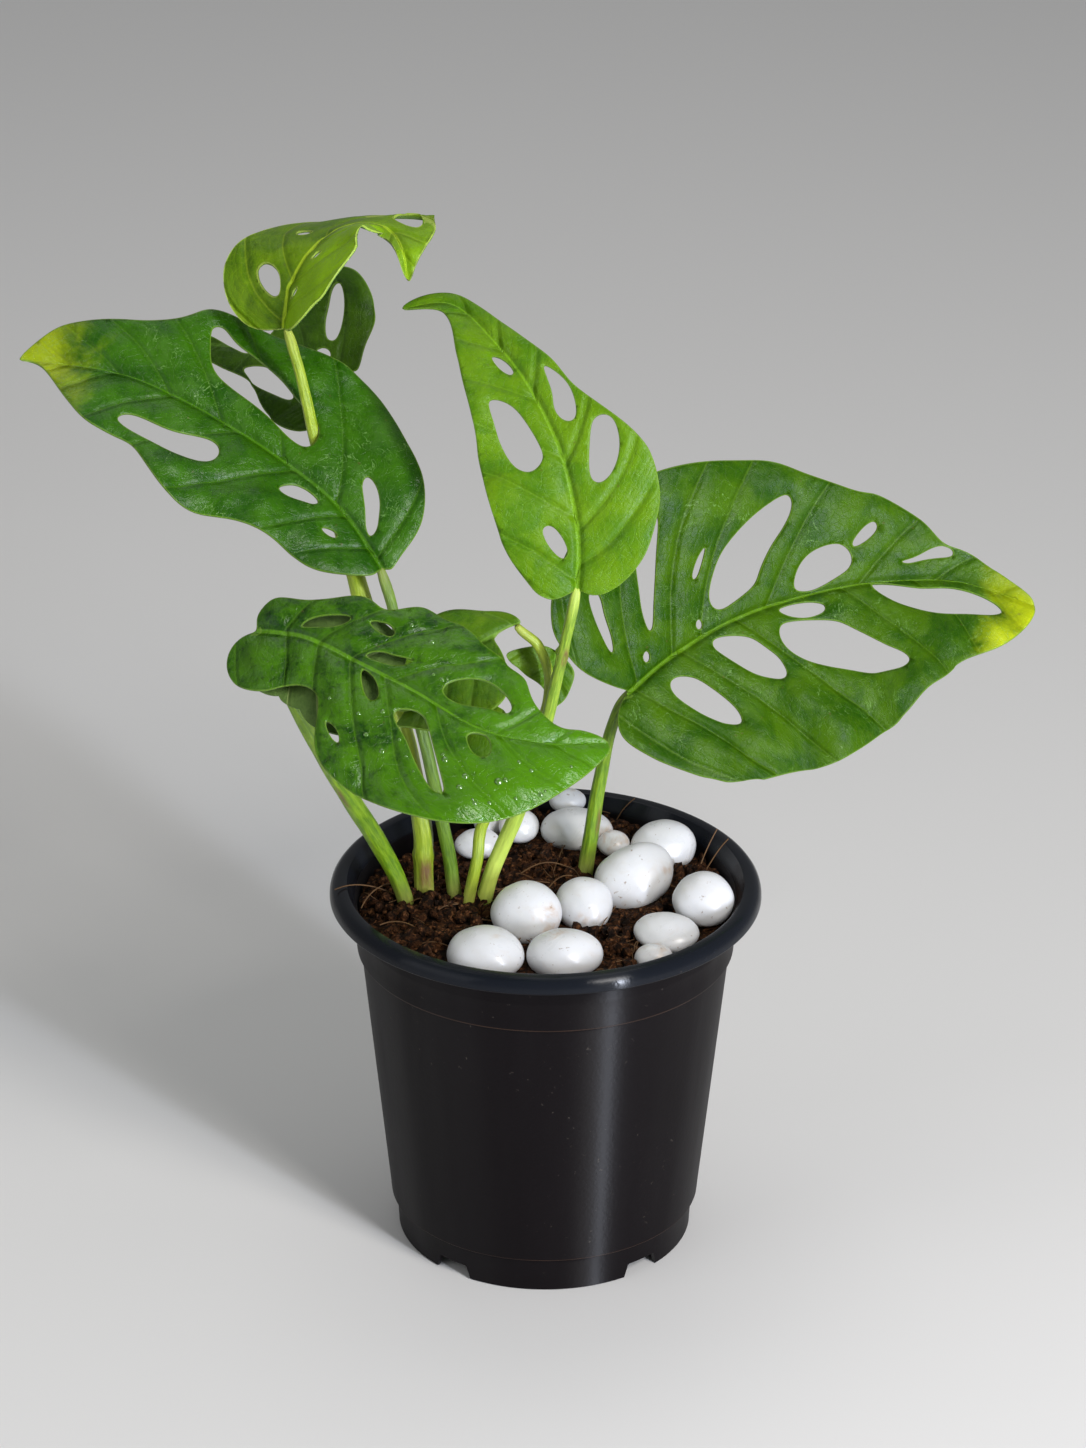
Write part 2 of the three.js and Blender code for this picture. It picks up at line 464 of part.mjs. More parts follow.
      [[31, 12.6], [32.4, 10.4], [33.3, 6.6], [31.8, 6.6], [30.4, 8.6], [30, 11]],
      [[10, -3.1], [12.3, -2.9], [14.4, -3.7], [15.6, -5], [14, -5.9], [11.6, -5.1]],
      [[22.8, -4.3], [25, -4.3], [26.6, -6.3], [26.4, -8], [24.6, -7.4], [23.2, -6]],
      [[52.3, 6.2], [52.6, 9], [53.6, 12.2], [56.2, 10.6], [58.8, 8.1], [57.6, 6.4], [54.6, 4.8]],
    ],
  },
  leaf_back: {
    finish: 'darkLeaf',
    rib: [[-65, 82, 252], [-77, 88, 256], [-89, 92, 257], [-100, 94, 256], [-111, 97, 256]],
    face: [[-0.19, -0.73, 0.66]],
    fold: [6, 6], curl: -0.006, ripple: [1.5, 30, 1], half: 28, grid: 8.5,
    outline: [[1, 0], [-2, -1.5], [-6, -2.5], [-3.5, -11.5], [-2, -21], [7, -29], [13, -31.5], [17, -25.5],
      [20, -12.5], [26.5, 0], [30, 4], [35, 1], [43.5, -3], [47.5, -3], [50.5, 0], [47, 4], [41, 6],
      [31, 11.5], [25.5, 14.5], [23.5, 17.5], [17.5, 21.5], [2.5, 23.5], [-6, 16.5], [-7, 10], [-6, 4.5]],
    holes: [
      [[12.5, -26], [9.5, -21], [7, -15], [5.5, -8.5], [8, -7], [11, -12], [12, -17.5], [13, -22]],
      [[32.5, 8], [27.5, 7.5], [23, 7], [14, 11], [6, 14], [12, 15.5], [25, 14]],
      [[9.5, -2], [9, -4.6], [6, -5.2], [3.5, -3.5], [5, -1.6], [8, -1]],
    ],
  },
  leaf_inner: {
    finish: 'deepLeaf',
    rib: [[-6, 0, 205], [-14, -2, 202], [-23, -6, 198], [-32, -12, 193], [-43, -20, 186]],
    face: [[-0.16, -0.49, 0.86]],
    fold: [8, 8], curl: -0.008, ripple: [1, 26, 0], half: 20, grid: 8,
    outline: [[1, 0], [4.5, -6], [8, -7.5], [15.5, -14.5], [17.5, -16], [24.5, -17.5], [39.5, -11.5],
      [48.5, -2], [47.5, 2.5], [43.5, 5], [37.5, 16.5], [33, 22], [27.5, 24], [19.5, 20.5], [13.5, 13.5],
      [11.5, 5.5], [11.5, -1], [7.5, 0], [4.5, -0.5]],
    holes: [],
  },
  leaf_inner_small: {
    finish: 'deepLeaf',
    rib: [[3, 9, 192.2], [3, 7.6, 186], [2, 6.2, 179.6], [0, 4.6, 173]],
    face: [[0.1, -0.94, 0.34]],
    fold: [10, 10], curl: 0.0001, ripple: [0.5, 16, 0], half: 12, grid: 7,
    outline: [[1, 0], [-1, -4.5], [1, -16.5], [4, -14], [9.5, -9.5], [11.5, -5], [16, -0.5], [20, -0],
      [16, 4], [12, 5], [7, 6], [3, 2]],
    holes: [],
  },
};

function onBlade(leaf, along, across) {
  const reach = THREE.MathUtils.clamp(along, 0, leaf.length);
  const t = leaf.curve.getUtoTmapping(0, reach);
  const tangent = leaf.curve.getTangent(t);
  const point = leaf.curve.getPoint(t).addScaledVector(tangent, along - reach);
  const where = t * (leaf.face.length - 1);
  const low = Math.min(Math.floor(where), Math.max(leaf.face.length - 2, 0));
  const high = Math.min(low + 1, leaf.face.length - 1);
  const face = new THREE.Vector3(...leaf.face[low]).normalize();
  face.lerp(new THREE.Vector3(...leaf.face[high]).normalize(), where - low);
  face.addScaledVector(tangent, -face.dot(tangent)).normalize();
  const side = new THREE.Vector3().crossVectors(face, tangent);
  const [left, right, leftTip = left, rightTip = right] = leaf.fold;
  const share = reach / leaf.length;
  const folded = across < 0 ? THREE.MathUtils.lerp(right, rightTip, share)
    : THREE.MathUtils.lerp(left, leftTip, share);
  const fold = THREE.MathUtils.degToRad(folded);
  const turn = fold + leaf.curl * Math.abs(across);
  const sideways = (Math.sin(turn) - Math.sin(fold)) / leaf.curl * Math.sign(across);
  const [height, length, phase] = leaf.ripple;
  const wave = Math.sin(2 * Math.PI * along / length + phase + (across < 0 ? -1.3 : 1.3));
  const lift = (Math.cos(fold) - Math.cos(turn)) / leaf.curl + height * (across / leaf.half) ** 2 * wave;
  return point.addScaledVector(side, sideways).addScaledVector(face, lift);
}

function bladeNormal(leaf, along, across) {
  const step = 0.3;
  const forward = onBlade(leaf, along + step, across).sub(onBlade(leaf, along - step, across));
  const sideways = onBlade(leaf, along, across + step).sub(onBlade(leaf, along, across - step));
  return forward.cross(sideways).normalize();
}

// A closed smooth line through the given points, as evenly spaced corners
function softLoop(points, step) {
  const curve = new THREE.CatmullRomCurve3(points.map(([a, b]) => new THREE.Vector3(a, b, 0)), true,
    'catmullrom', 0.5);
  const count = Math.max(5, Math.round(curve.getLength() / step));
  return curve.getSpacedPoints(count).slice(0, count).map((p) => [p.x, p.y]);
}

function insideLoop([x, y], loop) {
  let inside = false;
  for (let i = 0, j = loop.length - 1; i < loop.length; j = i, i += 1) {
    const [xi, yi] = loop[i];
    const [xj, yj] = loop[j];
    if ((yi > y) !== (yj > y) && x < (xj - xi) * (y - yi) / (yj - yi) + xi) inside = !inside;
  }
  return inside;
}

function gapToLoop([x, y], loop) {
  let gap = Infinity;
  loop.forEach(([ax, ay], i) => {
    const [bx, by] = loop[(i + 1) % loop.length];
    const [dx, dy] = [bx - ax, by - ay];
    const share = THREE.MathUtils.clamp(((x - ax) * dx + (y - ay) * dy) / (dx * dx + dy * dy), 0, 1);
    gap = Math.min(gap, Math.hypot(ax + share * dx - x, ay + share * dy - y));
  });
  return gap;
}

function circleThrough([ax, ay], [bx, by], [cx, cy]) {
  const twice = 2 * (ax * (by - cy) + bx * (cy - ay) + cx * (ay - by));
  const [a2, b2, c2] = [ax * ax + ay * ay, bx * bx + by * by, cx * cx + cy * cy];
  const x = (a2 * (by - cy) + b2 * (cy - ay) + c2 * (ay - by)) / twice;
  const y = (a2 * (cx - bx) + b2 * (ax - cx) + c2 * (bx - ax)) / twice;
  return { x, y, reach: Math.hypot(ax - x, ay - y) };
}

// Splits a flat cloud of points into well shaped triangles
function spanPoints(points) {
  const far = 4000;
  const all = [...points, [-far, -far], [far, -far], [0, far]];
  const corner = points.length;
  const first = [corner, corner + 1, corner + 2];
  let faces = [{ of: first, circle: circleThrough(...first.map((i) => all[i])) }];
  points.forEach(([x, y], i) => {
    const rim = new Map();
    const kept = [];
    for (const face of faces) {
      if (Math.hypot(face.circle.x - x, face.circle.y - y) >= face.circle.reach) {
        kept.push(face);
      } else {
        for (let k = 0; k < 3; k += 1) {
          const [a, b] = [face.of[k], face.of[(k + 1) % 3]];
          if (rim.has(`${b},${a}`)) rim.delete(`${b},${a}`);
          else rim.set(`${a},${b}`, [a, b]);
        }
      }
    }
    for (const [a, b] of rim.values()) {
      kept.push({ of: [a, b, i], circle: circleThrough(all[a], all[b], all[i]) });
    }
    faces = kept;
  });
  return faces.map((face) => face.of).filter((of) => of.every((i) => i < corner));
}

// The blade in the flat: its loops, its inner points and its triangles
function flatBlade(leaf) {
  let loops = [softLoop(leaf.outline, MARGIN_STEP), ...leaf.holes.map((hole) => softLoop(hole, HOLE_STEP))];
  const inner = [];
  const clear = (point, gap) => insideLoop(point, loops[0])
    && loops.slice(1).every((hole) => !insideLoop(point, hole))
    && loops.every((loop) => gapToLoop(point, loop) > gap);
  for (let along = RIB_STEP / 2; along < leaf.length; along += RIB_STEP) {
    if (clear([along, 0], 1.3)) inner.push([along, 0]);
  }
  for (let row = -8; row <= 8; row += 1) {
    for (let along = -20; along < leaf.length; along += leaf.grid) {
      const point = [along + (row % 2) * leaf.grid / 2 + 0.01 * row, row * leaf.grid * 0.87];
      if (row !== 0 && clear(point, leaf.grid * 0.42)) inner.push(point);
    }
  }
  for (let round = 0; round < 8; round += 1) {
    const points = [...loops.flat(), ...inner];
    const faces = spanPoints(points);
    const edges = new Set();
    for (const of of faces) {
      of.forEach((a, k) => edges.add(`${a},${of[(k + 1) % 3]}`).add(`${of[(k + 1) % 3]},${a}`));
    }
    let start = 0;
    let whole = true;
    loops = loops.map((loop) => {
      const fuller = [];
      loop.forEach((point, i) => {
        const next = (i + 1) % loop.length;
        fuller.push(point);
        if (!edges.has(`${start + i},${start + next}`)) {
          fuller.push([(point[0] + loop[next][0]) / 2, (point[1] + loop[next][1]) / 2]);
          whole = false;
        }
      });
      start += loop.length;
      return fuller;
    });
    if (whole) {
      const middle = (of, k) => (points[of[0]][k] + points[of[1]][k] + points[of[2]][k]) / 3;
      const kept = faces.filter((of) => {
        const centre = [middle(of, 0), middle(of, 1)];
        return insideLoop(centre, loops[0]) && loops.slice(1).every((hole) => !insideLoop(centre, hole));
      });
      return { points, loops, faces: kept };
    }
  }
  throw new Error('a blade outline runs too close to another line');
}

function bladeGeometry(leaf) {
  leaf.curve = new THREE.CatmullRomCurve3(leaf.rib.map((p) => new THREE.Vector3(...p)), false,
    'catmullrom', 0.5);
  leaf.curve.arcLengthDivisions = 400;
  leaf.length = leaf.curve.getLength();
  const { points, loops, faces } = flatBlade(leaf);
  const corners = [];
  for (const [along, across] of points) {
    const normal = bladeNormal(leaf, along, across);
    corners.push(onBlade(leaf, along, across).addScaledVector(normal, BLADE_THICKNESS / 2));
  }
  points.forEach(([along, across], i) => {
    const normal = bladeNormal(leaf, along, across);
    const taper = 1 - 0.8 * THREE.MathUtils.clamp(along / leaf.length, 0, 1);
    const rib = along < 2 ? 0 : RIB_THICKNESS * taper * Math.exp(-((across / RIB_HALF_WIDTH) ** 2));
    corners.push(corners[i].clone().addScaledVector(normal, -BLADE_THICKNESS - rib));
  });
  const under = points.length;
  const index = [];
  for (const [a, b, c] of faces) index.push(a, b, c, under + a, under + c, under + b);
  const edges = new Set(faces.flatMap(([a, b, c]) => [`${a},${b}`, `${b},${c}`, `${c},${a}`]));
  let start = 0;
  for (const loop of loops) {
    for (let i = 0; i < loop.length; i += 1) {
      const a = start + i;
      const b = start + (i + 1) % loop.length;
      if (edges.has(`${a},${b}`)) index.push(a, under + a, b, b, under + a, under + b);
      else index.push(b, under + b, a, a, under + b, under + a);
    }
    start += loop.length;
  }
  const geometry = new THREE.BufferGeometry();
  geometry.setAttribute('position', new THREE.Float32BufferAttribute(corners.flatMap((p) => p.toArray()), 3));
  geometry.setIndex(index);
  return geometry;
}

// Each blade has a small notch where its own stalk comes up to it.
const ownStalk = {
  leaf_left: 'stem_left',
  leaf_middle: 'stem_middle',
  leaf_right: 'stem_right',
  leaf_front: 'stem_front',
  leaf_top: 'stem_main',
  leaf_back: 'stem_main',
  leaf_inner: 'stem_inner',
  leaf_inner_small: 'stem_middle',
};

for (const [name, leaf] of Object.entries(leaves)) {
  place(name, cut(bladeGeometry(leaf), [stemGeometry(stems[ownStalk[name]], CLEARANCE)]), leaf.finish);
}

export default plant;
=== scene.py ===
import math

import bpy
import numpy as np
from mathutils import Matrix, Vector
from mathutils.kdtree import KDTree


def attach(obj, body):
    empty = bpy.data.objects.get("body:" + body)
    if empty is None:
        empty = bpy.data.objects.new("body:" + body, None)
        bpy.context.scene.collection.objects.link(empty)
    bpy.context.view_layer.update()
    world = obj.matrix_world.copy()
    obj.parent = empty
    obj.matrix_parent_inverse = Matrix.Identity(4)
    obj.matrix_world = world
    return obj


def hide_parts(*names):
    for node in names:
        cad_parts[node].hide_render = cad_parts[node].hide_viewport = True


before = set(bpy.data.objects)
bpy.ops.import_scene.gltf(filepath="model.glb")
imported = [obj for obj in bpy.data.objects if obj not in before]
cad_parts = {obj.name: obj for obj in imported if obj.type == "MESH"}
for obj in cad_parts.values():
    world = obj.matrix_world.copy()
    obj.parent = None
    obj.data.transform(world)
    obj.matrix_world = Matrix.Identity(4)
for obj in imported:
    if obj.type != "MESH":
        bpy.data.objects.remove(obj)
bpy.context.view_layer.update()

MM = 0.001
# The pot's axis in the shared frame. Every size and place below is in millimetres, and places are measured
# from the point where this axis meets the floor, unless a comment says otherwise.
POT = np.array([3.6, -6.3, 0])
SOIL_LEVEL = 110
SOIL_RADIUS = 57.2
STONE_COUNT = 15
SEED = 7


# Working by hand: selecting, applying and reading points

def only(piece):
    if bpy.context.object and bpy.context.object.mode != 'OBJECT':
        bpy.ops.object.mode_set(mode='OBJECT')
    bpy.ops.object.select_all(action='DESELECT')
    piece.select_set(True)
    bpy.context.view_layer.objects.active = piece


def open_mesh(piece, action='SELECT'):
    """Opens a piece in edit mode, with all of it or none of it selected."""
    only(piece)
    bpy.ops.object.mode_set(mode='EDIT')
    bpy.ops.mesh.select_all(action=action)


def close_mesh():
    bpy.ops.object.mode_set(mode='OBJECT')


def named(name):
    piece = bpy.context.object
    piece.name = piece.data.name = name.replace(' ', '_')
    return piece


def twin(source):
    """A copy of a piece, with a mesh of its own."""
    piece = source.copy()
    piece.data = source.data.copy()
    bpy.context.collection.objects.link(piece)
    return piece


def settle(piece):
    """Puts the object's own place into its mesh."""
    only(piece)
    bpy.ops.object.transform_apply(location=True, rotation=True, scale=True)


def joined(pieces, name):
    """One smooth piece out of many meshes or curves."""
    only(pieces[0])
    for piece in pieces:
        piece.select_set(True)
    if pieces[0].type == 'CURVE':
        bpy.ops.object.convert(target='MESH')
    bpy.ops.object.join()
    whole = named(name)
    settle(whole)
    bpy.ops.object.shade_smooth()
    return whole


def modify(piece, kind, **values):
    """Adds one modifier and applies it."""
    only(piece)
    modifier = piece.modifiers.new(kind.lower(), kind)
    for key, value in values.items():
        setattr(modifier, key, value)
    bpy.ops.object.modifier_apply(modifier=modifier.name)


def smoothed(piece, levels):
    modify(piece, 'SUBSURF', levels=levels, render_levels=levels)


def spot(x, y, z):
    """A place as Blender takes it: in metres, in the shared frame."""
    return tuple((np.array([x, y, z]) + POT) * MM)


def points_of(piece):
    """A piece's points in millimetres, in the shared frame."""
    flat = np.empty(len(piece.data.vertices) * 3)
    piece.data.vertices.foreach_get('co', flat)
    return flat.reshape(-1, 3) / MM


def put_points(piece, points):
    piece.data.vertices.foreach_set('co', (np.asarray(points) * MM).ravel())
    piece.data.update()


def normals_of(group):
    """The directions in which a mesh's points or faces look."""
    flat = np.empty(len(group) * 3)
    group.foreach_get('normal', flat)
    return flat.reshape(-1, 3)


def write_values(piece, name, values):
    layer = piece.data.attributes.new(name, 'FLOAT', 'POINT')
    layer.data.foreach_set('value', np.asarray(values, dtype=np.float32))


def write_uv(piece, u, v):
    layer = piece.data.uv_layers.new(name='flat')
    corner = np.empty(len(piece.data.loops), dtype=np.int32)
    piece.data.loops.foreach_get('vertex_index', corner)
    layer.data.foreach_set('uv', np.column_stack([u[corner], v[corner]]).astype(np.float32).ravel())


def tree_of(points, numbers):
    """A search tree of those points that the numbers name."""
    tree = KDTree(len(numbers))
    for number in numbers:
        tree.insert(points[number], number)
    tree.balance()
    return tree


def copy_of(node, name):
    """A merged copy of a node's loose triangles, ready to be worked on."""
    piece = twin(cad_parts[node])
    piece.parent = None
    piece.name = piece.data.name = name
    open_mesh(piece)
    bpy.ops.mesh.remove_doubles(threshold=1e-6)
    bpy.ops.mesh.normals_make_consistent(inside=False)
    close_mesh()
    return piece


def finish_piece(piece, material, slot, nodes=()):
    piece.data.materials.clear()
    piece.data.materials.append(material)
    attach(piece, 'root')
    if nodes:
        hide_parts(*nodes)
    return piece


# Smooth lines through points

def unit(vectors):
    return vectors / np.linalg.norm(vectors, axis=-1, keepdims=True)


def read_line(length, values, at):
    return np.stack([np.interp(at, length, values[:, k]) for k in range(values.shape[1])], -1)


def smooth_line(points, steps=24):
    """A line through the points that bends evenly: places, directions and the length up to each place."""
    points = np.array(points, float)
    ends = np.vstack([2 * points[0] - points[1], points, 2 * points[-1] - points[-2]])
    places = []
    for a, b, c, d in zip(ends, ends[1:], ends[2:], ends[3:]):
        for t in np.arange(steps) / steps:
            places.append(0.5 * (2 * b + (c - a) * t + (2 * a - 5 * b + 4 * c - d) * t ** 2
                                 + (3 * b - a - 3 * c + d) * t ** 3))
    places = np.array(places + [points[-1]])
    length = np.concatenate([[0], np.cumsum(np.linalg.norm(np.diff(places, axis=0), axis=1))])
    return places, unit(np.gradient(places, length, axis=0)), length


# Materials

class Wire:
    """What a material's node gives out. It is reckoned with as a number is."""

    def __init__(self, paint, socket):
        self.paint = paint
        self.socket = socket

    def __add__(self, other):
        return self.paint.math('ADD', self, other)

    def __sub__(self, other):
        return self.paint.math('SUBTRACT', self, other)

    def __mul__(self, other):
        return self.paint.math('MULTIPLY', self, other)

    def __truediv__(self, other):
        return self.paint.math('DIVIDE', self, other)

    def __abs__(self):
        return self.paint.math('ABSOLUTE', self)


class Paint:
    """Builds one material, node by node."""

    def __init__(self, name, **constants):
        self.material = bpy.data.materials.new(name)
        self.material.use_nodes = True
        self.tree = self.material.node_tree
        self.shader = self.tree.nodes['Principled BSDF']
        for socket, value in constants.items():
            self.shader.inputs[socket.replace('_', ' ')].default_value = value

    def add(self, kind, inputs=(), out=0, **values):
        node = self.tree.nodes.new('ShaderNode' + kind)
        for key, value in values.items():
            setattr(node, key, value)
        for socket, value in dict(inputs).items():
            if isinstance(value, Wire):
                self.tree.links.new(value.socket, node.inputs[socket])
            else:
                node.inputs[socket].default_value = value
        return Wire(self, node.outputs[out])

    def place(self):
        return self.add('TexCoord', out='Object')

    def flat(self):
        return self.add('UVMap', uv_map='flat')

    def part(self, vector, axis):
        return self.add('SeparateXYZ', {0: vector}, out=axis)

    def value(self, name):
        return self.add('Attribute', attribute_name=name, out='Fac')

    def scaled(self, vector, scale):
        return self.add('Mapping', {'Vector': vector, 'Scale': scale})

    def noise(self, vector, scale, detail=3.0, rough=0.5, warp=0.0):
        return self.add('TexNoise', {'Vector': vector, 'Scale': scale, 'Detail': detail, 'Roughness': rough,
                                     'Distortion': warp})

    def cells(self, vector, scale, feature='F1'):
        return self.add('TexVoronoi', {'Vector': vector, 'Scale': scale}, feature=feature, out='Distance')

    def math(self, operation, *values):
        return self.add('Math', enumerate(values), operation=operation)

    def span(self, value, low, high, start=0.0, end=1.0):
        """Goes smoothly from start to end while the value goes from low to high."""
        return self.add('MapRange', {'Value': value, 'From Min': low, 'From Max': high, 'To Min': start,
                                     'To Max': end}, interpolation_type='SMOOTHSTEP')

    def fade(self, value, low, high):
        return self.span(value, low, high, 1.0, 0.0)

    def mix(self, share, a, b):
        def full(colour):
            return colour if isinstance(colour, Wire) else (*colour, 1.0)
        return self.add('Mix', {0: share, 6: full(a), 7: full(b)}, data_type='RGBA', out=2)

    def coats(self, ground, *coats):
        """Lays coats over the ground, one on the other, each given as its share and its colour."""
        for share, colour in coats:
            ground = self.mix(share, ground, colour)
        return ground

    def link(self, socket, wire):
        self.tree.links.new(wire.socket, self.shader.inputs[socket])

    def finish(self, colour, rough=None, height=None, depth=0.0, strength=1.0):
        """Links colour, roughness and relief to the shader. depth is the relief's depth in metres."""
        self.link('Base Color', colour)
        if rough:
            self.link('Roughness', rough)
        if height:
            self.link('Normal', self.add('Bump', {'Height': height, 'Distance': depth, 'Strength': strength}))
        return self.material


def times(factor, colour):
    return tuple(factor * part for part in colour)


# Where the pot's rim starts to shine, with lower roughness and a painted bluish reflection, and the heights
# of its two thin warm lines, painted highlights at the ledge and the step, in metres above the floor
RIM_GLOSS_AND_PAINTED_SHEEN = (0.1135, 0.1145)
POT_PAINTED_GLINT_LINES = (0.0971, 0.0117)


def pot_plastic():
    paint = Paint('black moulded plastic', Specular_IOR_Level=0.18, Anisotropic=1.0,
                  Anisotropic_Rotation=0.25)
    paint.link('Tangent', paint.add('Tangent', direction_type='RADIAL', axis='Z'))
    place = paint.place()
    height = paint.part(place, 2)
    streaks = paint.noise(paint.scaled(place, (90, 90, 6)), 1.0, 4, 0.6)
    fine = paint.noise(place, 900, 2)
    cloud = paint.noise(place, 22, 4, 0.6)
    dust = paint.span(paint.noise(place, 420, 3, 0.7), 0.66, 0.74) * paint.span(cloud, 0.45, 0.7)
    # The rim shines. Its lower roughness is real gloss. Its bluish colour is a painted reflection.
    rim = paint.span(height, *RIM_GLOSS_AND_PAINTED_SHEEN)
    broken = paint.span(cloud, 0.4, 0.6, 0.35, 0.8)
    # The thin warm lines at the ledge and the step are painted highlights: the edges' reflection of the
    # floor, broken here and there.
    lines = [(paint.span(abs(height - line), 0.0005, 0.0002) * broken, (0.05, 0.026, 0.016))
             for line in POT_PAINTED_GLINT_LINES]
    colour = paint.coats(paint.mix(cloud, (0.0025, 0.0015, 0.002), (0.004, 0.0025, 0.0035)),
                         (rim, (0.006, 0.0075, 0.011)), *lines, (dust * 0.45, (0.14, 0.12, 0.1)))
    rough = paint.span(streaks, 0.3, 0.7, 0.38, 0.43) - rim * 0.2 + dust * 0.2
    return paint.finish(colour, rough, fine * 0.25 + cloud, 0.00018, 0.5)


def wet_soil():
    paint = Paint('coconut fibre soil', Specular_IOR_Level=0.14)
    place = paint.place()
    large = paint.noise(place, 90, 4, 0.6)
    small = paint.noise(place, 700, 4, 0.7)
    crumb = paint.cells(paint.mix(0.006, place, paint.noise(place, 260, 3, 0.6)), 430)
    # black is painted shade: it fills the gaps between crumbs, and the low ground between lumps that the
    # value deep marks.
    black = (0.003, 0.0012, 0.0006)
    colour = paint.coats(paint.mix(large, (0.02, 0.0075, 0.0025), (0.08, 0.029, 0.01)),
                         # Small lighter flecks: partly the soil's own lighter fibre, partly painted
                         # highlights on the crumbs.
                         (paint.span(small, 0.5, 0.66, 0.0, 0.9), (0.24, 0.1, 0.038)),
                         (paint.span(crumb, 0.4, 0.75, 0.0, 0.9), black),
                         (paint.value('deep'), black))
    return paint.finish(colour, paint.span(large, 0.3, 0.7, 0.7, 0.95), small + large - crumb * 1.4, 0.0014)


def dry_fibre():
    paint = Paint('dry coconut fibre', Specular_IOR_Level=0.3)
    tone = paint.noise(paint.place(), 160, 3)
    colour = paint.mix(tone, (0.05, 0.022, 0.009), (0.26, 0.14, 0.06))
    return paint.finish(colour, paint.span(tone, 0.3, 0.7, 0.6, 0.8))


def white_stone():
    paint = Paint('polished white stone', Specular_IOR_Level=0.5, Subsurface_Weight=0.06,
                  Subsurface_Radius=(0.004, 0.003, 0.002), Coat_Weight=0.15, Coat_Roughness=0.25)
    place = paint.place()
    cloud = paint.noise(place, 45, 4, 0.55)
    veil = paint.noise(place, 130, 5, 0.65, 0.6)
    specks = paint.span(paint.noise(place, 620, 3, 0.6), 0.66, 0.72)
    stain = paint.span(paint.noise(place, 60, 3, 0.6), 0.56, 0.68) * paint.span(veil, 0.4, 0.62)
    colour = paint.coats(paint.mix(cloud, (0.62, 0.62, 0.62), (0.76, 0.77, 0.79)),
                         (paint.span(veil, 0.5, 0.75, 0.0, 0.4), (0.62, 0.58, 0.53)),
                         (specks * 0.75, (0.3, 0.22, 0.16)),
                         (stain * 0.6, (0.52, 0.35, 0.22)))
    return paint.finish(colour, paint.span(veil, 0.3, 0.7, 0.26, 0.42), cloud + veil * 0.4, 0.0004, 0.5)


def stalk_skin(name, pale, deep, dark, low=(0.42, 0.4, 0.12), low_share=0.6):
    """flat holds the way along the stalk and the way round it. foot says where the skin takes the colour low:
    near the soil and below a blade."""
    paint = Paint(name, Specular_IOR_Level=0.5, Subsurface_Weight=0.12,
                  Subsurface_Radius=(0.0015, 0.002, 0.0005), Coat_Weight=0.1, Coat_Roughness=0.3)
    flat = paint.flat()
    streaks = paint.noise(paint.scaled(flat, (1.6, 14, 1)), 1.0, 4, 0.6, 0.3)
    lines = paint.noise(paint.scaled(flat, (2.5, 46, 1)), 1.0, 3, 0.6)
    blotch = paint.noise(paint.scaled(flat, (9, 7, 1)), 1.0, 4, 0.6)
    colour = paint.coats(paint.mix(paint.span(streaks, 0.32, 0.68), deep, pale),
                         (paint.span(lines, 0.55, 0.75, 0.0, 0.18), dark),
                         (paint.span(blotch, 0.66, 0.78, 0.0, 0.2), dark),
                         (paint.span(paint.value('foot'), 0.0, 1.0, 0.0, low_share), low),
                         (paint.value('scar') * paint.span(streaks, 0.3, 0.6, 0.5, 1.0), (0.17, 0.085, 0.03)))
    return paint.finish(colour, paint.span(blotch, 0.3, 0.7, 0.36, 0.5), lines + streaks, 0.00035, 0.6)


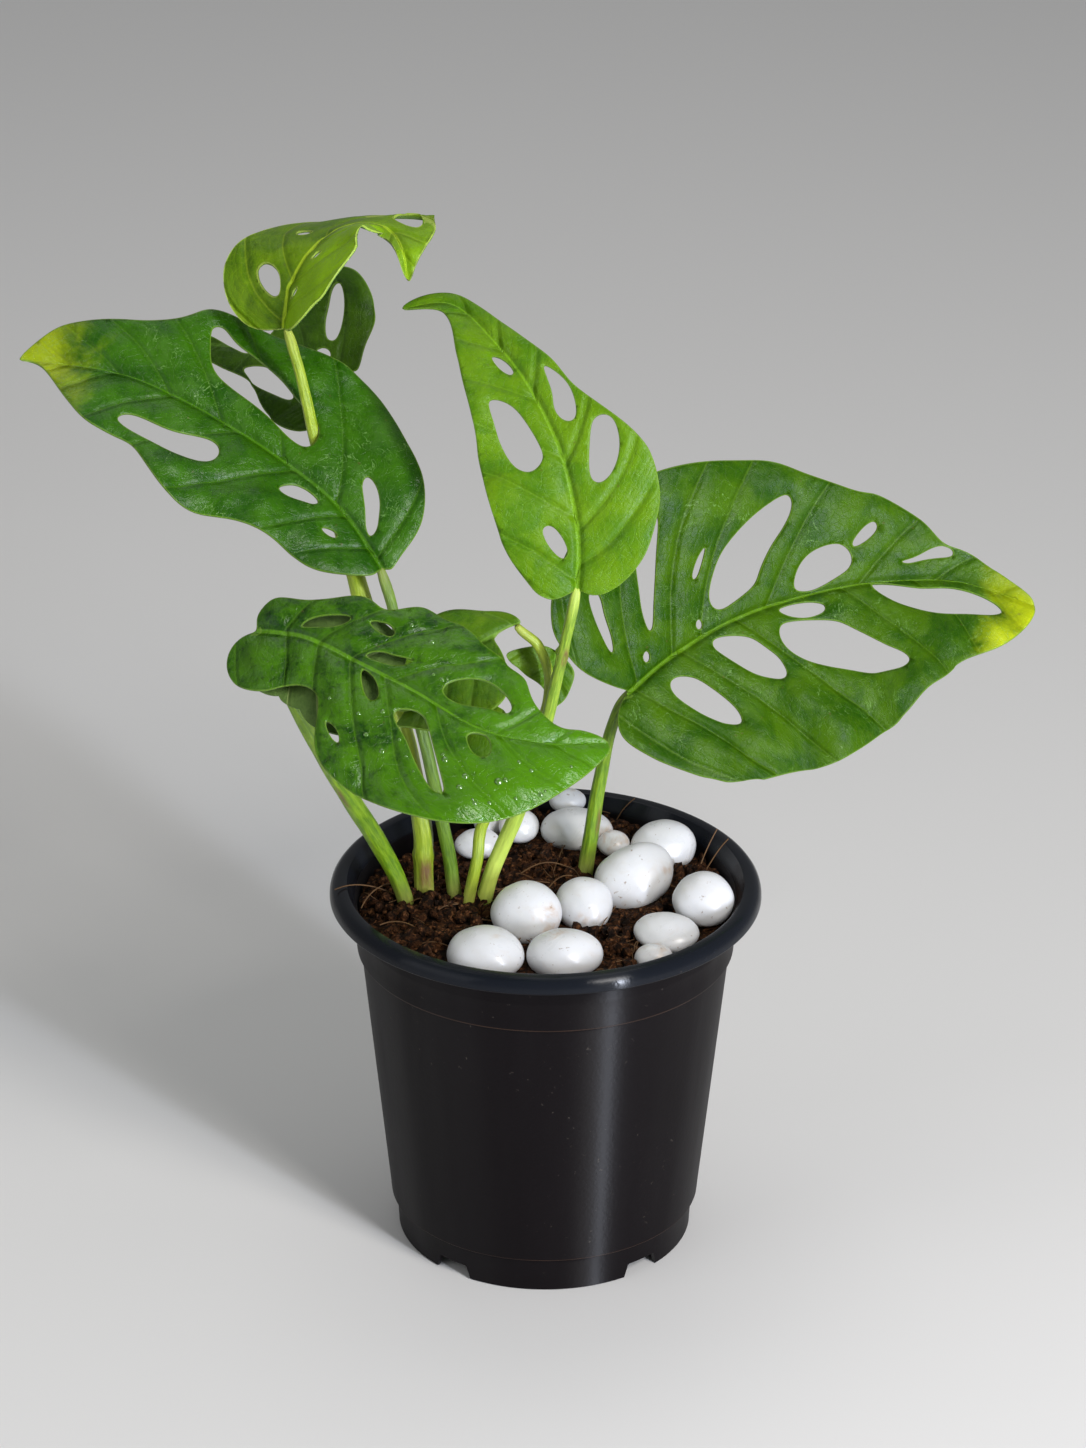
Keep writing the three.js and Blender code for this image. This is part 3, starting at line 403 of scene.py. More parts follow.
def leaf_skin(name, deep, light, vein, gloss, shine_level=0.18, midrib_show=0.5, yellow_tip=0.0,
              tip_from=1.0, painted_glow=0.0, painted_right_light=0.0, stains=0.0, wet=0.0, rim=(0.16, 0.28, 0.03),
              patchy=0.35, groove_shade=0.24):
    """flat holds the way along the midrib and across it, in tenths of a metre."""
    paint = Paint(name, Specular_IOR_Level=shine_level, Subsurface_Weight=0.06,
                  Subsurface_Radius=(0.0012, 0.0025, 0.0004))
    flat = paint.flat()
    along, across = paint.part(flat, 0), paint.part(flat, 1)
    share, under = paint.value('share'), paint.value('under')
    cloud = paint.noise(flat, 6.5, 4, 0.6, 0.5)
    mottle = paint.noise(flat, 30, 5, 0.65, 0.4)
    grain = paint.noise(flat, 210, 3, 0.6)

    reach = abs(across) * 100
    phase, room = paint.value('veins'), paint.value('vein room')
    side = paint.math('PINGPONG', phase, 0.5) * room
    twig_phase = phase * 5.0 + paint.noise(flat, 26, 2) * 1.6
    twig = paint.math('PINGPONG', twig_phase, 0.5) * (room * 0.2)
    midrib = paint.fade(reach / paint.span(along, 0.0, 1.1, 1.0, 0.3), 0.4, 1.0)
    side_vein = paint.fade(side, 0.05, 0.4)
    net_vein = paint.fade(paint.cells(flat, 46, 'DISTANCE_TO_EDGE'), 0.0, 0.05)
    groove = paint.fade(side, 0.0, 1.7)

    # shade darkens the random mottle, which is the blade's own tone. It is also used as painted shade in the
    # vein grooves and beside the midrib.
    shade = times(0.45, deep)
    coats = [
        (paint.span(mottle, 0.4, 0.68, 0.0, patchy), light),
        (paint.span(mottle, 0.45, 0.3, 0.0, patchy), shade),
        # Painted shade in the side veins' grooves, and in the groove beside the midrib.
        (paint.math('POWER', groove, 2.0) * groove_shade, shade),
        (paint.fade(reach, 0.5, 4.5) * (0.6 * groove_shade), shade),
        (net_vein * 0.1, vein),
        (paint.fade(twig, 0.02, 0.25) * 0.07, vein),
        (side_vein * 0.3, vein),
        (midrib * midrib_show, times(1.5, vein)),
    ]
    # Painted light: the outer part of the blade is made lighter, as light shining through it, and the right
    # half is made lighter where light falls on it.
    if painted_glow:
        coats.append((paint.span(share, 0.45, 0.95) * painted_glow, times(1.5, light)))
    if painted_right_light:
        coats.append((paint.span(across, -0.01, -0.07) * painted_right_light, times(1.7, light)))
    if yellow_tip:
        tip = paint.span(share + cloud * 0.25, tip_from, tip_from + 0.14)
        coats.append((tip * yellow_tip, (0.4, 0.47, 0.006)))
    if stains:
        drift = paint.noise(flat, 13, 4, 0.6, 0.8)
        line = paint.span(abs(drift - 0.5), 0.008, 0.0)
        film = paint.span(drift, 0.5, 0.62) * 0.12
        where = paint.span(paint.noise(flat, 4.5, 3, 0.5), 0.48, 0.6)
        coats.append((paint.math('MAXIMUM', line, film) * (where * stains), (0.2, 0.36, 0.1)))
    coats.append((paint.span(paint.cells(flat, 15), 0.075, 0.045) * 0.3, (0.1, 0.06, 0.02)))
    # A pale line along the margin: partly the blade's own pale edge, partly a painted highlight on the rim.
    coats.append((paint.span(paint.value('edge'), 0.1, 0.45, 0.6, 0.0), rim))
    upper_side = paint.coats(paint.mix(paint.span(cloud, 0.36, 0.64), deep, light), *coats)
    lower_side = paint.coats(paint.mix(paint.span(mottle, 0.3, 0.7), (0.08, 0.15, 0.03), (0.13, 0.22, 0.05)),
                             (paint.math('MAXIMUM', side_vein, midrib), (0.24, 0.33, 0.1)))

    rough = paint.span(mottle, 0.25, 0.75, gloss, gloss + 0.12)
    if wet:
        rough = rough - paint.span(paint.noise(flat, 11, 3, 0.5, 0.3), 0.5, 0.56) * wet
    height = (grain * 0.06 + mottle * 0.4 - groove * 0.4 - paint.fade(reach, 0.0, 2.2) * 0.5
              - paint.fade(twig, 0.0, 0.6) * 0.05 - net_vein * 0.05)
    return paint.finish(paint.mix(under, upper_side, lower_side), rough + under * 0.22, height, 0.001, 0.85)


def water():
    """Beads of water take the green that shows through them, and shine."""
    paint = Paint('water drops', Roughness=0.04, Specular_IOR_Level=0.8, Coat_Weight=1.0, Coat_Roughness=0.02)
    return paint.finish(paint.mix(paint.noise(paint.place(), 300, 2), (0.03, 0.11, 0.005), (0.08, 0.2, 0.01)))


# Pot: one moulded wall drawn ring by ring from the floor's underside, out and up, and down inside. Each
# ring is a radius and a height.

POT_SIDES = 160
POT_RINGS = [
    (45.0, 7.6), (44.8, 7.2), (44.1, 0.5), (44.3, 0.0), (45.3, 0.0), (45.7, 0.35), (46.25, 10.9),
    (46.35, 11.3), (46.6, 11.5), (47.3, 11.55), (47.7, 11.7), (47.92, 11.95), (47.97, 12.5), (48.1, 14.0),
    (52.3, 55.0), (56.5, 96.0),
    (56.6, 96.7), (56.8, 96.95), (57.3, 97.0), (57.62, 97.1), (57.8, 97.35), (57.85, 97.8), (58.0, 101.0),
    (58.35, 105.5), (58.55, 106.2), (58.6, 106.9), (58.9, 112.2), (59.3, 114.2), (60.3, 115.7), (62.0, 116.4),
    (63.6, 116.3), (64.3, 115.5), (64.6, 114.1), (64.9, 113.8), (65.75, 113.8), (66.0, 114.2),
    (65.95, 115.4), (65.6, 116.7), (64.9, 117.7), (64.0, 118.3), (63.2, 118.5), (61.3, 118.5),
    (60.7, 118.3), (60.3, 117.6), (59.2, 116.0), (58.2, 113.9), (57.7, 112.0), (56.7, 100.0),
    (55.4, 96.5), (51.0, 55.0), (46.6, 13.2), (45.0, 11.7), (44.9, 9.2), (44.6, 9.0),
]
NOTCH_PLACES = [-38, 41, 142, 221]
NOTCH_RADIUS = 45.5
NOTCH_HALF_WIDTH = 7.9
NOTCH_HEIGHT = 4.7
NOTCH_DEPTH = 8
NOTCH_TAPER = 0.66
NOTCH_ROUNDING = 0.6
DRAIN_COUNT = 6
DRAIN_RADIUS = 4
DRAIN_RING = 33
DRAIN_MIDDLE = 8.3
DRAIN_DEPTH = 6


def turned(name, rings, sides):
    """Draws a round piece on the pot's axis, ring by ring, as (radius, height), from first disc to last."""
    radius, height = rings[0]
    bpy.ops.mesh.primitive_circle_add(vertices=sides, radius=radius * MM, fill_type='NGON',
                                      location=spot(0, 0, height))
    piece = named(name)
    open_mesh(piece)
    for (low_radius, low), (radius, height) in zip(rings, rings[1:]):
        bpy.ops.mesh.extrude_region_move(TRANSFORM_OT_translate={'value': (0, 0, (height - low) * MM)})
        grow = radius / low_radius
        bpy.ops.transform.resize(value=(grow, grow, 1), center_override=spot(0, 0, height))
    bpy.ops.mesh.select_all(action='SELECT')
    bpy.ops.mesh.normals_make_consistent(inside=False)
    settle(piece)
    return piece


def notch_cutter(degrees):
    """A block with rounded edges that narrows upwards. Its upper half cuts one notch of the foot ring."""
    turn = math.radians(degrees)
    foot = spot(NOTCH_RADIUS * math.sin(turn), -NOTCH_RADIUS * math.cos(turn), 0)
    size = (2 * NOTCH_HALF_WIDTH * MM, NOTCH_DEPTH * MM, 2 * NOTCH_HEIGHT * MM)
    bpy.ops.mesh.primitive_cube_add(size=1, location=foot, rotation=(0, 0, turn), scale=size)
    notch = named('notch cutter')
    settle(notch)
    open_mesh(notch, 'DESELECT')
    close_mesh()
    for vertex in notch.data.vertices:
        vertex.select = vertex.co.z > 0
    bpy.ops.object.mode_set(mode='EDIT')
    bpy.ops.transform.resize(value=(NOTCH_TAPER, NOTCH_TAPER, 1), center_override=foot)
    bpy.ops.mesh.select_all(action='SELECT')
    bpy.ops.mesh.bevel(offset=NOTCH_ROUNDING * MM, segments=3, affect='EDGES')
    close_mesh()
    return notch


def drain_cutter(number):
    turn = 2 * math.pi * (number + 0.5) / DRAIN_COUNT
    place = spot(DRAIN_RING * math.cos(turn), DRAIN_RING * math.sin(turn), DRAIN_MIDDLE)
    bpy.ops.mesh.primitive_cylinder_add(vertices=32, radius=DRAIN_RADIUS * MM, depth=DRAIN_DEPTH * MM,
                                        location=place)
    drain = named('drain cutter')
    settle(drain)
    return drain


def make_pot():
    pot = turned('nursery pot', POT_RINGS, POT_SIDES)
    cutters = [notch_cutter(degrees) for degrees in NOTCH_PLACES]
    cutters += [drain_cutter(number) for number in range(DRAIN_COUNT)]
    for cutter in cutters:
        modify(pot, 'BOOLEAN', operation='DIFFERENCE', solver='EXACT', object=cutter)
        bpy.data.objects.remove(cutter, do_unlink=True)
    only(pot)
    bpy.ops.object.shade_smooth_by_angle(angle=math.radians(32))
    return finish_piece(pot, pot_plastic(), 'pot', ['pot'])


# Soil: a layer of crumbs over the block of soil, loose crumbs and dry fibres

BED_STEPS = 190
BED_THICKNESS = 2.5
# The inside of the pot's wall at the soil's level, and how much it closes in for each millimetre below
WALL_RADIUS = 56.9
WALL_SLOPE = 0.09
LUMP_COUNT = 2200
LUMP_SIZES = (0.8, 3.6)
CRUMB_COUNT = 520
SHORT_FIBRE_COUNT = 95
# A round brown bud that lies at the foot of the stems: its place on the soil, and its radius
BUD = (-36.0, -7.5, 3.4)


def heap(x, y, centre_x, centre_y, spread):
    return np.exp(-((x - centre_x) ** 2 + (y - centre_y) ** 2) / spread ** 2)


def soil_height(x, y):
    heaps = (2.2 * heap(x, y, -32, -6, 20) + 2.5 * heap(x, y, -38, -34, 16) + 5 * heap(x, y, 8, 50, 22)
             + 1.5 * heap(x, y, 42, 12, 18) - 3 * heap(x, y, -38, 36, 18))
    waves = 0.7 * np.sin(0.31 * x + 1) * np.cos(0.27 * y) + 0.5 * np.sin(0.53 * x - 0.4 * y)
    return np.minimum(SOIL_LEVEL + heaps + waves, 118)


def soil_top(x, y):
    return float(soil_height(np.array([x]), np.array([y]))[0])


def scattered(radius, chance):
    """A random place within a radius of the pot's axis."""
    far, turn = radius * math.sqrt(chance.random()), 2 * math.pi * chance.random()
    return far * math.cos(turn), far * math.sin(turn)


def lumps(x, y, chance):
    """Height that rounded lumps of many sizes add to a bed."""
    height = np.zeros_like(x)
    small, large = LUMP_SIZES
    for _ in range(LUMP_COUNT):
        reach = small + (large - small) * chance.random() ** 2.2
        centre_x, centre_y = scattered(SOIL_RADIUS, chance)
        stretch, lean = 0.7 + 0.6 * chance.random(), math.pi * chance.random()
        near = np.nonzero((abs(x - centre_x) < 1.5 * reach) & (abs(y - centre_y) < 1.5 * reach))[0]
        if len(near) == 0:
            continue
        across, along = x[near] - centre_x, y[near] - centre_y
        u = (across * math.cos(lean) + along * math.sin(lean)) / stretch
        v = (along * math.cos(lean) - across * math.sin(lean)) * stretch
        ball = 1 - (u * u + v * v) / reach ** 2
        top = np.sqrt(np.clip(ball, 0, 1)) * reach * (0.5 + 0.5 * chance.random())
        height[near] = np.maximum(height[near], top)
    return height


def stone_places():
    """Each stone's middle and half width."""
    for number in range(1, STONE_COUNT + 1):
        points = points_of(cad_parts[f'pebble_{number:02d}'])
        low, high = points.min(0), points.max(0)
        yield (low + high) / 2 - POT, (high - low)[:2].mean() / 2


def under_stones(x, y):
    """1 below a stone, 0 well clear of all of them, and between the two at a stone's edge."""
    share = np.zeros_like(x)
    for middle, half in STONES:
        far = np.hypot(x - middle[0], y - middle[1])
        share = np.maximum(share, np.clip((half + 2.6 - far) / 1.6, 0, 1))
    return share


def make_bed(chance):
    bpy.ops.mesh.primitive_grid_add(x_subdivisions=BED_STEPS, y_subdivisions=BED_STEPS,
                                    size=2 * SOIL_RADIUS * MM)
    bed = named('soil crumb layer')
    points = points_of(bed)
    square = np.abs(points[:, :2]).max(1)
    circle = np.hypot(points[:, 0], points[:, 1])
    pull = np.where(circle > 0, square / np.maximum(circle, 1e-6), 1)
    x, y = points[:, 0] * pull, points[:, 1] * pull
    stones = under_stones(x, y)
    rise = lumps(x, y, chance) * (1 - stones)
    grain = 0.25 * (1 - stones) * np.sin(2.1 * x) * np.cos(1.9 * y)
    z = soil_height(x, y) + rise - 1.0 - 1.8 * stones + grain
    put_points(bed, np.column_stack([x, y, z]) + POT)
    # deep is high on the low ground between the lumps, where the soil's skin paints shade.
    write_values(bed, 'deep', 0.75 * np.clip(1 - rise / 0.9, 0, 1))
    modify(bed, 'SOLIDIFY', thickness=BED_THICKNESS * MM, offset=-1.0, use_even_offset=False)
    points = points_of(bed) - POT
    wall = WALL_RADIUS - WALL_SLOPE * np.clip(SOIL_LEVEL - points[:, 2], 0, 20)
    inward = np.minimum(1, wall / np.maximum(np.hypot(points[:, 0], points[:, 1]), 1e-6))
    put_points(bed, points * np.column_stack([inward, inward, np.ones(len(points))]) + POT)
    only(bed)
    bpy.ops.object.shade_smooth()
    return finish_piece(bed, SOIL, 'soil')


def make_crumbs(chance):
    crumbs = []
    while len(crumbs) < CRUMB_COUNT:
        x, y = scattered(SOIL_RADIUS - 4, chance)
        size = 0.9 + 2.0 * chance.random() ** 1.5
        number = len(crumbs)
        if number == 0:
            x, y, size = BUD
        elif under_stones(np.array([x]), np.array([y]))[0] > 0:
            continue
        bpy.ops.mesh.primitive_uv_sphere_add(segments=8, ring_count=5, radius=size * MM,
                                             location=spot(x, y, soil_top(x, y) + 1.3),
                                             rotation=tuple(6 * chance.random(3)))
        crumb = named(f'crumb {number}')
        shape = points_of(crumb)
        rough = 1 + 0.22 * np.sin(3.1 * shape[:, 0] / size + number) * np.cos(2.7 * shape[:, 1] / size)
        rough += 0.18 * np.sin(5.3 * shape[:, 2] / size + 2 * number)
        put_points(crumb, shape * rough[:, None] * np.array([1, 0.75, 0.6]))
        crumbs.append(crumb)
    return finish_piece(joined(crumbs, 'loose crumbs'), SOIL, 'soil')


# Fibres that stand out from the others
LONG_FIBRES = [
    [(46.8, 17.3, 111), (48, 18, 115), (49.5, 19.9, 119), (53, 23.7, 124)],
    [(48.3, 16.7, 111), (51, 18.2, 115), (52.9, 19.2, 119), (56.3, 18.9, 123)],
    [(22, 52, 112), (23.8, 54, 115.5), (26, 53.5, 118), (28, 53, 120)],
    [(-44, -1, 112), (-48, -0.5, 115), (-54, -1.5, 117.5), (-59, -3.6, 119.2), (-64, -9, 119.3)],
    [(-56, -11, 114), (-54, -6, 117), (-49.4, 0.7, 118), (-44, 4, 114)],
    [(-50, -20, 113), (-45, -19, 115), (-40, -22, 115), (-35, -27, 112.5)],
    [(-20, -6, 112), (-14, 4, 115), (-6, 8, 114.5), (2, 10, 112)],
    [(0, 4, 112), (5, 11, 116), (12, 12, 112)],
    [(-8, 16, 112), (0, 20, 116), (9, 17, 113)],
    [(14, 30, 114), (20, 33, 118), (26, 34, 115)],
    [(-24, -14, 112), (-19, -17, 113.5), (-13, -16, 112)],
]


def short_fibre(chance):
    """A thin strand that wanders over the soil, and stays inside the pot."""
    x, y = scattered(SOIL_RADIUS - 5, chance)
    heading = 2 * math.pi * chance.random()
    length = 5 + 12 * chance.random() ** 2
    strand = []
    for step in range(5):
        lift = 1.3 + 1.5 * math.sin(math.pi * step / 4) * chance.random()
        strand.append((x, y, soil_top(x, y) + lift))
        heading += 1.1 * (chance.random() - 0.5)
        x, y = x + length / 4 * math.cos(heading), y + length / 4 * math.sin(heading)
        shrink = min(1, (SOIL_RADIUS - 1.5) / max(1, math.hypot(x, y)))
        x, y = x * shrink, y * shrink
    return strand


def make_fibres(chance):
    strands = LONG_FIBRES + [short_fibre(chance) for _ in range(SHORT_FIBRE_COUNT)]
    fibres = []
    for number, strand in enumerate(strands):
        bpy.ops.curve.primitive_nurbs_path_add()
        fibre = named(f'fibre {number}')
        fibre.data.bevel_depth = (0.2 if number < len(LONG_FIBRES) else 0.08 + 0.09 * chance.random()) * MM
        fibre.data.bevel_resolution = 1
        fibre.data.resolution_u = 5
        fibre.data.use_fill_caps = True
        points = fibre.data.splines[0].points
        line = read_line(np.linspace(0, 1, len(strand)), np.array(strand), np.linspace(0, 1, len(points)))
        for point, place in zip(points, line):
            point.co = (*spot(*place), 1)
        fibres.append(fibre)
    return finish_piece(joined(fibres, 'dry fibres'), dry_fibre(), 'soil')


# Pebbles: the solids' stones, rounded, with slight hollows and flats

def make_pebbles():
    stone = white_stone()
    for number in range(1, STONE_COUNT + 1):
        node = f'pebble_{number:02d}'
        pebble = copy_of(node, f'white_pebble_{number}')
        before = points_of(pebble)
        smoothed(pebble, 2)
        centre = before.mean(0)
        arm = points_of(pebble) - centre
        far = np.linalg.norm(arm, axis=1)
        size = np.linalg.norm(before - centre, axis=1).mean() / far.mean()
        way = arm / far[:, None]
        wave = 0.012 * np.sin(4.3 * way[:, 0] + 2 * number) * np.cos(3.7 * way[:, 1] - number)
        wave += 0.006 * np.sin(9.1 * way[:, 2] + 6.3 * way[:, 0] + number)
        put_points(pebble, centre + arm * (size * 0.997 + wave - 0.01)[:, None])
        only(pebble)
        bpy.ops.object.shade_smooth()
        finish_piece(pebble, stone, 'pebble', [node])


# Stalks: the solids' tubes, made round again along their own lines, with grooves. Each line is given by its
# points and by its radii, spread evenly over its length.

STALKS = {
    'stem_front': [
        ([(-42, -1, 100), (-43, -3.5, 114), (-49.4, -6, 131.2), (-59.7, -13, 153.9), (-66.7, -19, 170.5),
          (-72.8, -22, 184.5), (-78.1, -23, 196.2), (-82.5, -24.5, 206), (-84.7, -29.9, 214.6)],
         [2.4, 2.5, 2.9, 2.9, 2.8, 2.5, 2, 1.4])],
    'stem_main': [
        ([(-36.5, 1, 100), (-37, 2, 110), (-37.4, 3, 123.5), (-37.8, 4, 136.2), (-42.8, 9, 161.2),
          (-50.3, 15, 185), (-56, 20, 204), (-58.8, 25, 212), (-64.8, 34.5, 227.6), (-69.7, 40, 244.9),
          (-72.4, 40.6, 258.3), (-75.1, 42, 270.6), (-79, 43.7, 280.3)],
         [3, 3, 3, 3.1, 3.3, 3, 2.2, 1.9, 1.7, 1.4]),
        ([(-55, 18.5, 202), (-57, 25, 206), (-58.2, 42, 216.2), (-60.6, 62, 229), (-63, 75, 240),
          (-65, 81.6, 251.4)],
         [1.6, 1.6, 1.5, 1.4, 1.3])],
    'stem_left': [
        ([(-26.5, 1.5, 100), (-27.4, 0, 109.5), (-29.2, 0, 124.9), (-31.5, 0, 138.2), (-35.7, 1, 160),
          (-40.4, 4, 180.2), (-45.2, 9, 200.4), (-48.6, 12.2, 214.6)],
         [2.4, 2.1, 2, 1.9, 1.7, 1.5])],
    'stem_inner': [
        ([(-26, -4.5, 100), (-24.3, -5, 109.7), (-20.9, -3, 126.5), (-19.1, 0, 137.6), (-10, 1, 155),
          (-1.6, 0, 171.6), (0.8, -0.5, 182.6), (0.2, -0.5, 190.1), (-2.6, 0, 197.4), (-5.9, 0, 204.6)],
         [1.9, 1.8, 1.8, 1.6, 1.5, 1.4])],
    'stem_middle': [
        ([(-20.5, 0.5, 100), (-19.4, -1, 109), (-15.7, -2, 124), (-9.3, -4, 141.3), (-3.3, -5, 159.7),
          (0.8, -6, 177.8), (3.7, -7, 192.1), (5.7, -8, 202.4), (7.8, -8.5, 213), (8.8, -7.9, 217.4)],
         [2.6, 2.4, 2.4, 2, 1.9, 1.7, 1.4]),
        ([(4.6, -7.2, 196.6), (5.2, -2, 196.6), (4.6, 4, 195), (3.1, 8.4, 192.6)],
         [1.1, 1, 0.9])],
    'stem_right': [
        ([(10.5, 15.5, 100), (11.6, 16.5, 108), (12.8, 18, 116), (14.2, 19, 126.2), (16.3, 20.5, 140.6),
          (19.2, 21, 156.6), (22, 20.5, 166.4), (24.7, 18.4, 172.8)],
         [2.6, 2.4, 2.3, 2.1, 1.8, 1.4])],
}
# The blade that each of a stalk's lines ends at
TIPS = {
    'stem_front': ['leaf_front'], 'stem_main': ['leaf_top', 'leaf_back'], 'stem_left': ['leaf_left'],
    'stem_inner': ['leaf_inner'], 'stem_middle': ['leaf_middle', 'leaf_inner_small'],
    'stem_right': ['leaf_right'],
}
# Grooves along a stalk: place round it in radians, depth as a share of the radius, and width in radians
GROOVES = {
    'stem_front': [(0.3, 0.1, 0.25), (-0.7, 0.06, 0.2), (2.4, 0.08, 0.3)],
    'stem_main': [(0.25, 0.12, 0.2), (-0.5, 0.06, 0.16), (1.3, 0.06, 0.2), (-2.2, 0.08, 0.3)],
    'stem_left': [(0.1, 0.1, 0.25), (1.9, 0.06, 0.3)],
    'stem_inner': [(0.4, 0.08, 0.25), (-2.0, 0.06, 0.3)],
    'stem_middle': [(0.5, 0.1, 0.22), (-0.4, 0.06, 0.2), (2.6, 0.06, 0.3)],
    'stem_right': [(0.35, 0.2, 0.24), (-0.6, 0.08, 0.2), (2.2, 0.08, 0.3)],
}
# Brown scars: way along the stalk, place round it in radians, and half sizes of the mark along and round
SCARS = {
    'stem_main': [(20, 0.3, 5, 0.8), (96, -0.4, 3, 0.5)],
    'stem_middle': [(101, 0.6, 3, 0.6)],
    'stem_front': [(60, -0.5, 4, 0.3)],
    'stem_right': [(30, 0.8, 4, 0.3)],
}
# Raised rings: way along the stalk, and height as a share of the radius
RINGS = {'stem_main': [(25.5, 0.14), (96, 0.08)], 'stem_middle': [(101, 0.1)]}
# How far up from the soil a stalk has the colour of its foot, which on the middle stalk is a painted
# highlight
FOOT_LENGTH = {'stem_middle': 50}
USUAL_FOOT_LENGTH = 14
# A stalk bends into its blade over its last stretch. It ends this far from the blade's base, and this far
# under the sheet that the blade lies on, where the leaf says nothing else.
JOINT_LENGTH = 9
USUAL_ROOT = 1.5
USUAL_SINK = 0.7
STALK_SKINS = {
    'green': dict(pale=(0.23, 0.38, 0.01), deep=(0.1, 0.22, 0.004), dark=(0.05, 0.12, 0.003)),
    'pale': dict(pale=(0.38, 0.49, 0.03), deep=(0.23, 0.34, 0.008), dark=(0.12, 0.19, 0.006)),
    # The bright skin's foot colour is a painted highlight: a pale lit band on the middle stalk's lower part
    # and below its blades.
    'bright': dict(pale=(0.32, 0.47, 0.03), deep=(0.14, 0.27, 0.01), dark=(0.07, 0.15, 0.005),
                   low=(0.72, 0.86, 0.16), low_share=0.95),
    'dark': dict(pale=(0.15, 0.27, 0.015), deep=(0.07, 0.15, 0.005), dark=(0.03, 0.07, 0.003)),
}
SKIN_OF = {'stem_front': 'green', 'stem_main': 'pale', 'stem_left': 'dark', 'stem_inner': 'pale',
           'stem_middle': 'bright', 'stem_right': 'green'}


def turn_from(turn, place_round):
    """The angle from a place round a stalk, between half a turn back and half a turn on."""
    return np.angle(np.exp(1j * (turn - place_round)))


def joint_of(leaf):
    """The place in a blade where its stalk ends."""
    blade = Blade(leaf)
    root = np.array([leaf.get('root', USUAL_ROOT)])
    return (blade.at(root, 0 * root) - leaf.get('sink', USUAL_SINK) * blade.normal(root, 0 * root))[0]


def laid_round(points, node, line, radii, leaf):
    """Makes a stalk's points round along one of its lines. It gives how far off the line's radius each point
    was, and then its new place, the way along the line, the turn round it, and the way left to its end."""
    places, headings, length = smooth_line(line)
    near = np.linalg.norm(points[:, None] - places[None], axis=2).argmin(1)
    place, heading, along = places[near], headings[near], length[near]
    slide = ((points - place) * heading).sum(1)
    inside = (near > 0) & (near < len(places) - 1)
    place = place + np.where(inside, slide, 0)[:, None] * heading
    arm = points - place
    flat_arm = arm - (arm * heading).sum(1)[:, None] * heading
    size = np.linalg.norm(flat_arm, axis=1)
    radius = np.interp(along / length[-1], np.linspace(0, 1, len(radii)), radii)
    viewer = np.array([0, -1.0, 0])
    front = unit(viewer - heading * (heading * viewer).sum(1)[:, None])
    turn = np.arctan2((arm * np.cross(heading, front)).sum(1), (arm * front).sum(1))
    left = length[-1] - along

    grooved = np.ones(len(points))
    for place_round, depth, width in GROOVES[node]:
        grooved -= depth * np.exp(-(turn_from(turn, place_round) / width) ** 2)
    grooved += 0.02 * np.sin(along * 0.35 + 3 * turn)
    swelling = 1 + 0.14 * np.exp(-((left - 4) / 5) ** 2)
    for way, height in RINGS.get(node, []):
        swelling = swelling + height * np.exp(-((along - way) / 1.1) ** 2)
    pushed = place + flat_arm / np.maximum(size, 1e-6)[:, None] * (radius * grooved * swelling)[:, None]
    skin = inside & (size > 0.55 * radius)
    pushed = np.where(skin[:, None], pushed, points)

    reach = np.clip(1 - left / JOINT_LENGTH, 0, 1)
    pushed = place + (pushed - place) * (1 - 0.35 * reach ** 4)[:, None]
    pushed = pushed + (reach ** 2 * (3 - 2 * reach))[:, None] * (joint_of(LEAVES[leaf]) - places[-1])
    return np.abs(size - radius), pushed, along, turn, left


def make_stalks():
    skins = {name: stalk_skin(f'{name} stalk skin', **colours) for name, colours in STALK_SKINS.items()}
    for node, branches in STALKS.items():
        piece = copy_of(node, node.replace('stem', 'stalk'))
        smoothed(piece, 2)
        points = points_of(piece) - POT
        misfit = np.full(len(points), 1e9)
        laid, along, turn, left = points.copy(), *np.zeros((3, len(points)))
        for (line, radii), leaf in zip(branches, TIPS[node]):
            found = laid_round(points, node, line, radii, leaf)
            better = found[0] < misfit
            for kept, value in zip((misfit, laid, along, turn, left), found):
                kept[better] = value[better]
        put_points(piece, laid + POT)
        write_uv(piece, along / 10, turn / (2 * math.pi))
        foot = np.clip(1 - (laid[:, 2] - SOIL_LEVEL) / FOOT_LENGTH.get(node, USUAL_FOOT_LENGTH), 0, 1)
        write_values(piece, 'foot', foot + 0.5 * np.exp(-(left / 7) ** 2))
        scar = np.zeros(len(points))
        for way, place_round, half_length, half_turn in SCARS.get(node, []):
            off = turn_from(turn, place_round) / half_turn
            scar = np.maximum(scar, np.exp(-((along - way) / half_length) ** 4 - off ** 4))
        write_values(piece, 'scar', scar)
        only(piece)
        bpy.ops.object.shade_smooth()
        finish_piece(piece, skins[SKIN_OF[node]], 'stalk_dark' if node == 'stem_left' else 'stalk', [node])


# Leaves. A blade is worked in the flat, where x runs along its midrib and y across it, positive to the left
# of someone who looks from base to tip, and is then laid on its midrib. face is the way its upper side
# looks, from base to tip. fold lifts its left and its right half, in degrees, and tip_fold does so at the
# tip where that differs. curl bends each half, in radians a millimetre. ripple waves the margin: height at
# the half width called half, length and start. veins gives, for the left and the right half, where the side
# veins leave the midrib, and sweep how they lean towards the tip: at the base, how much more at the tip, and
# how they bend on. puff, crumple and hem are the heights of the blade's pillows, of its fine puckers and of
# those at its left margin. root and sink place the end of the stalk. A tight leaf is rolled too sharply for
# its sheet, so its relief is laid on the solid's own form.

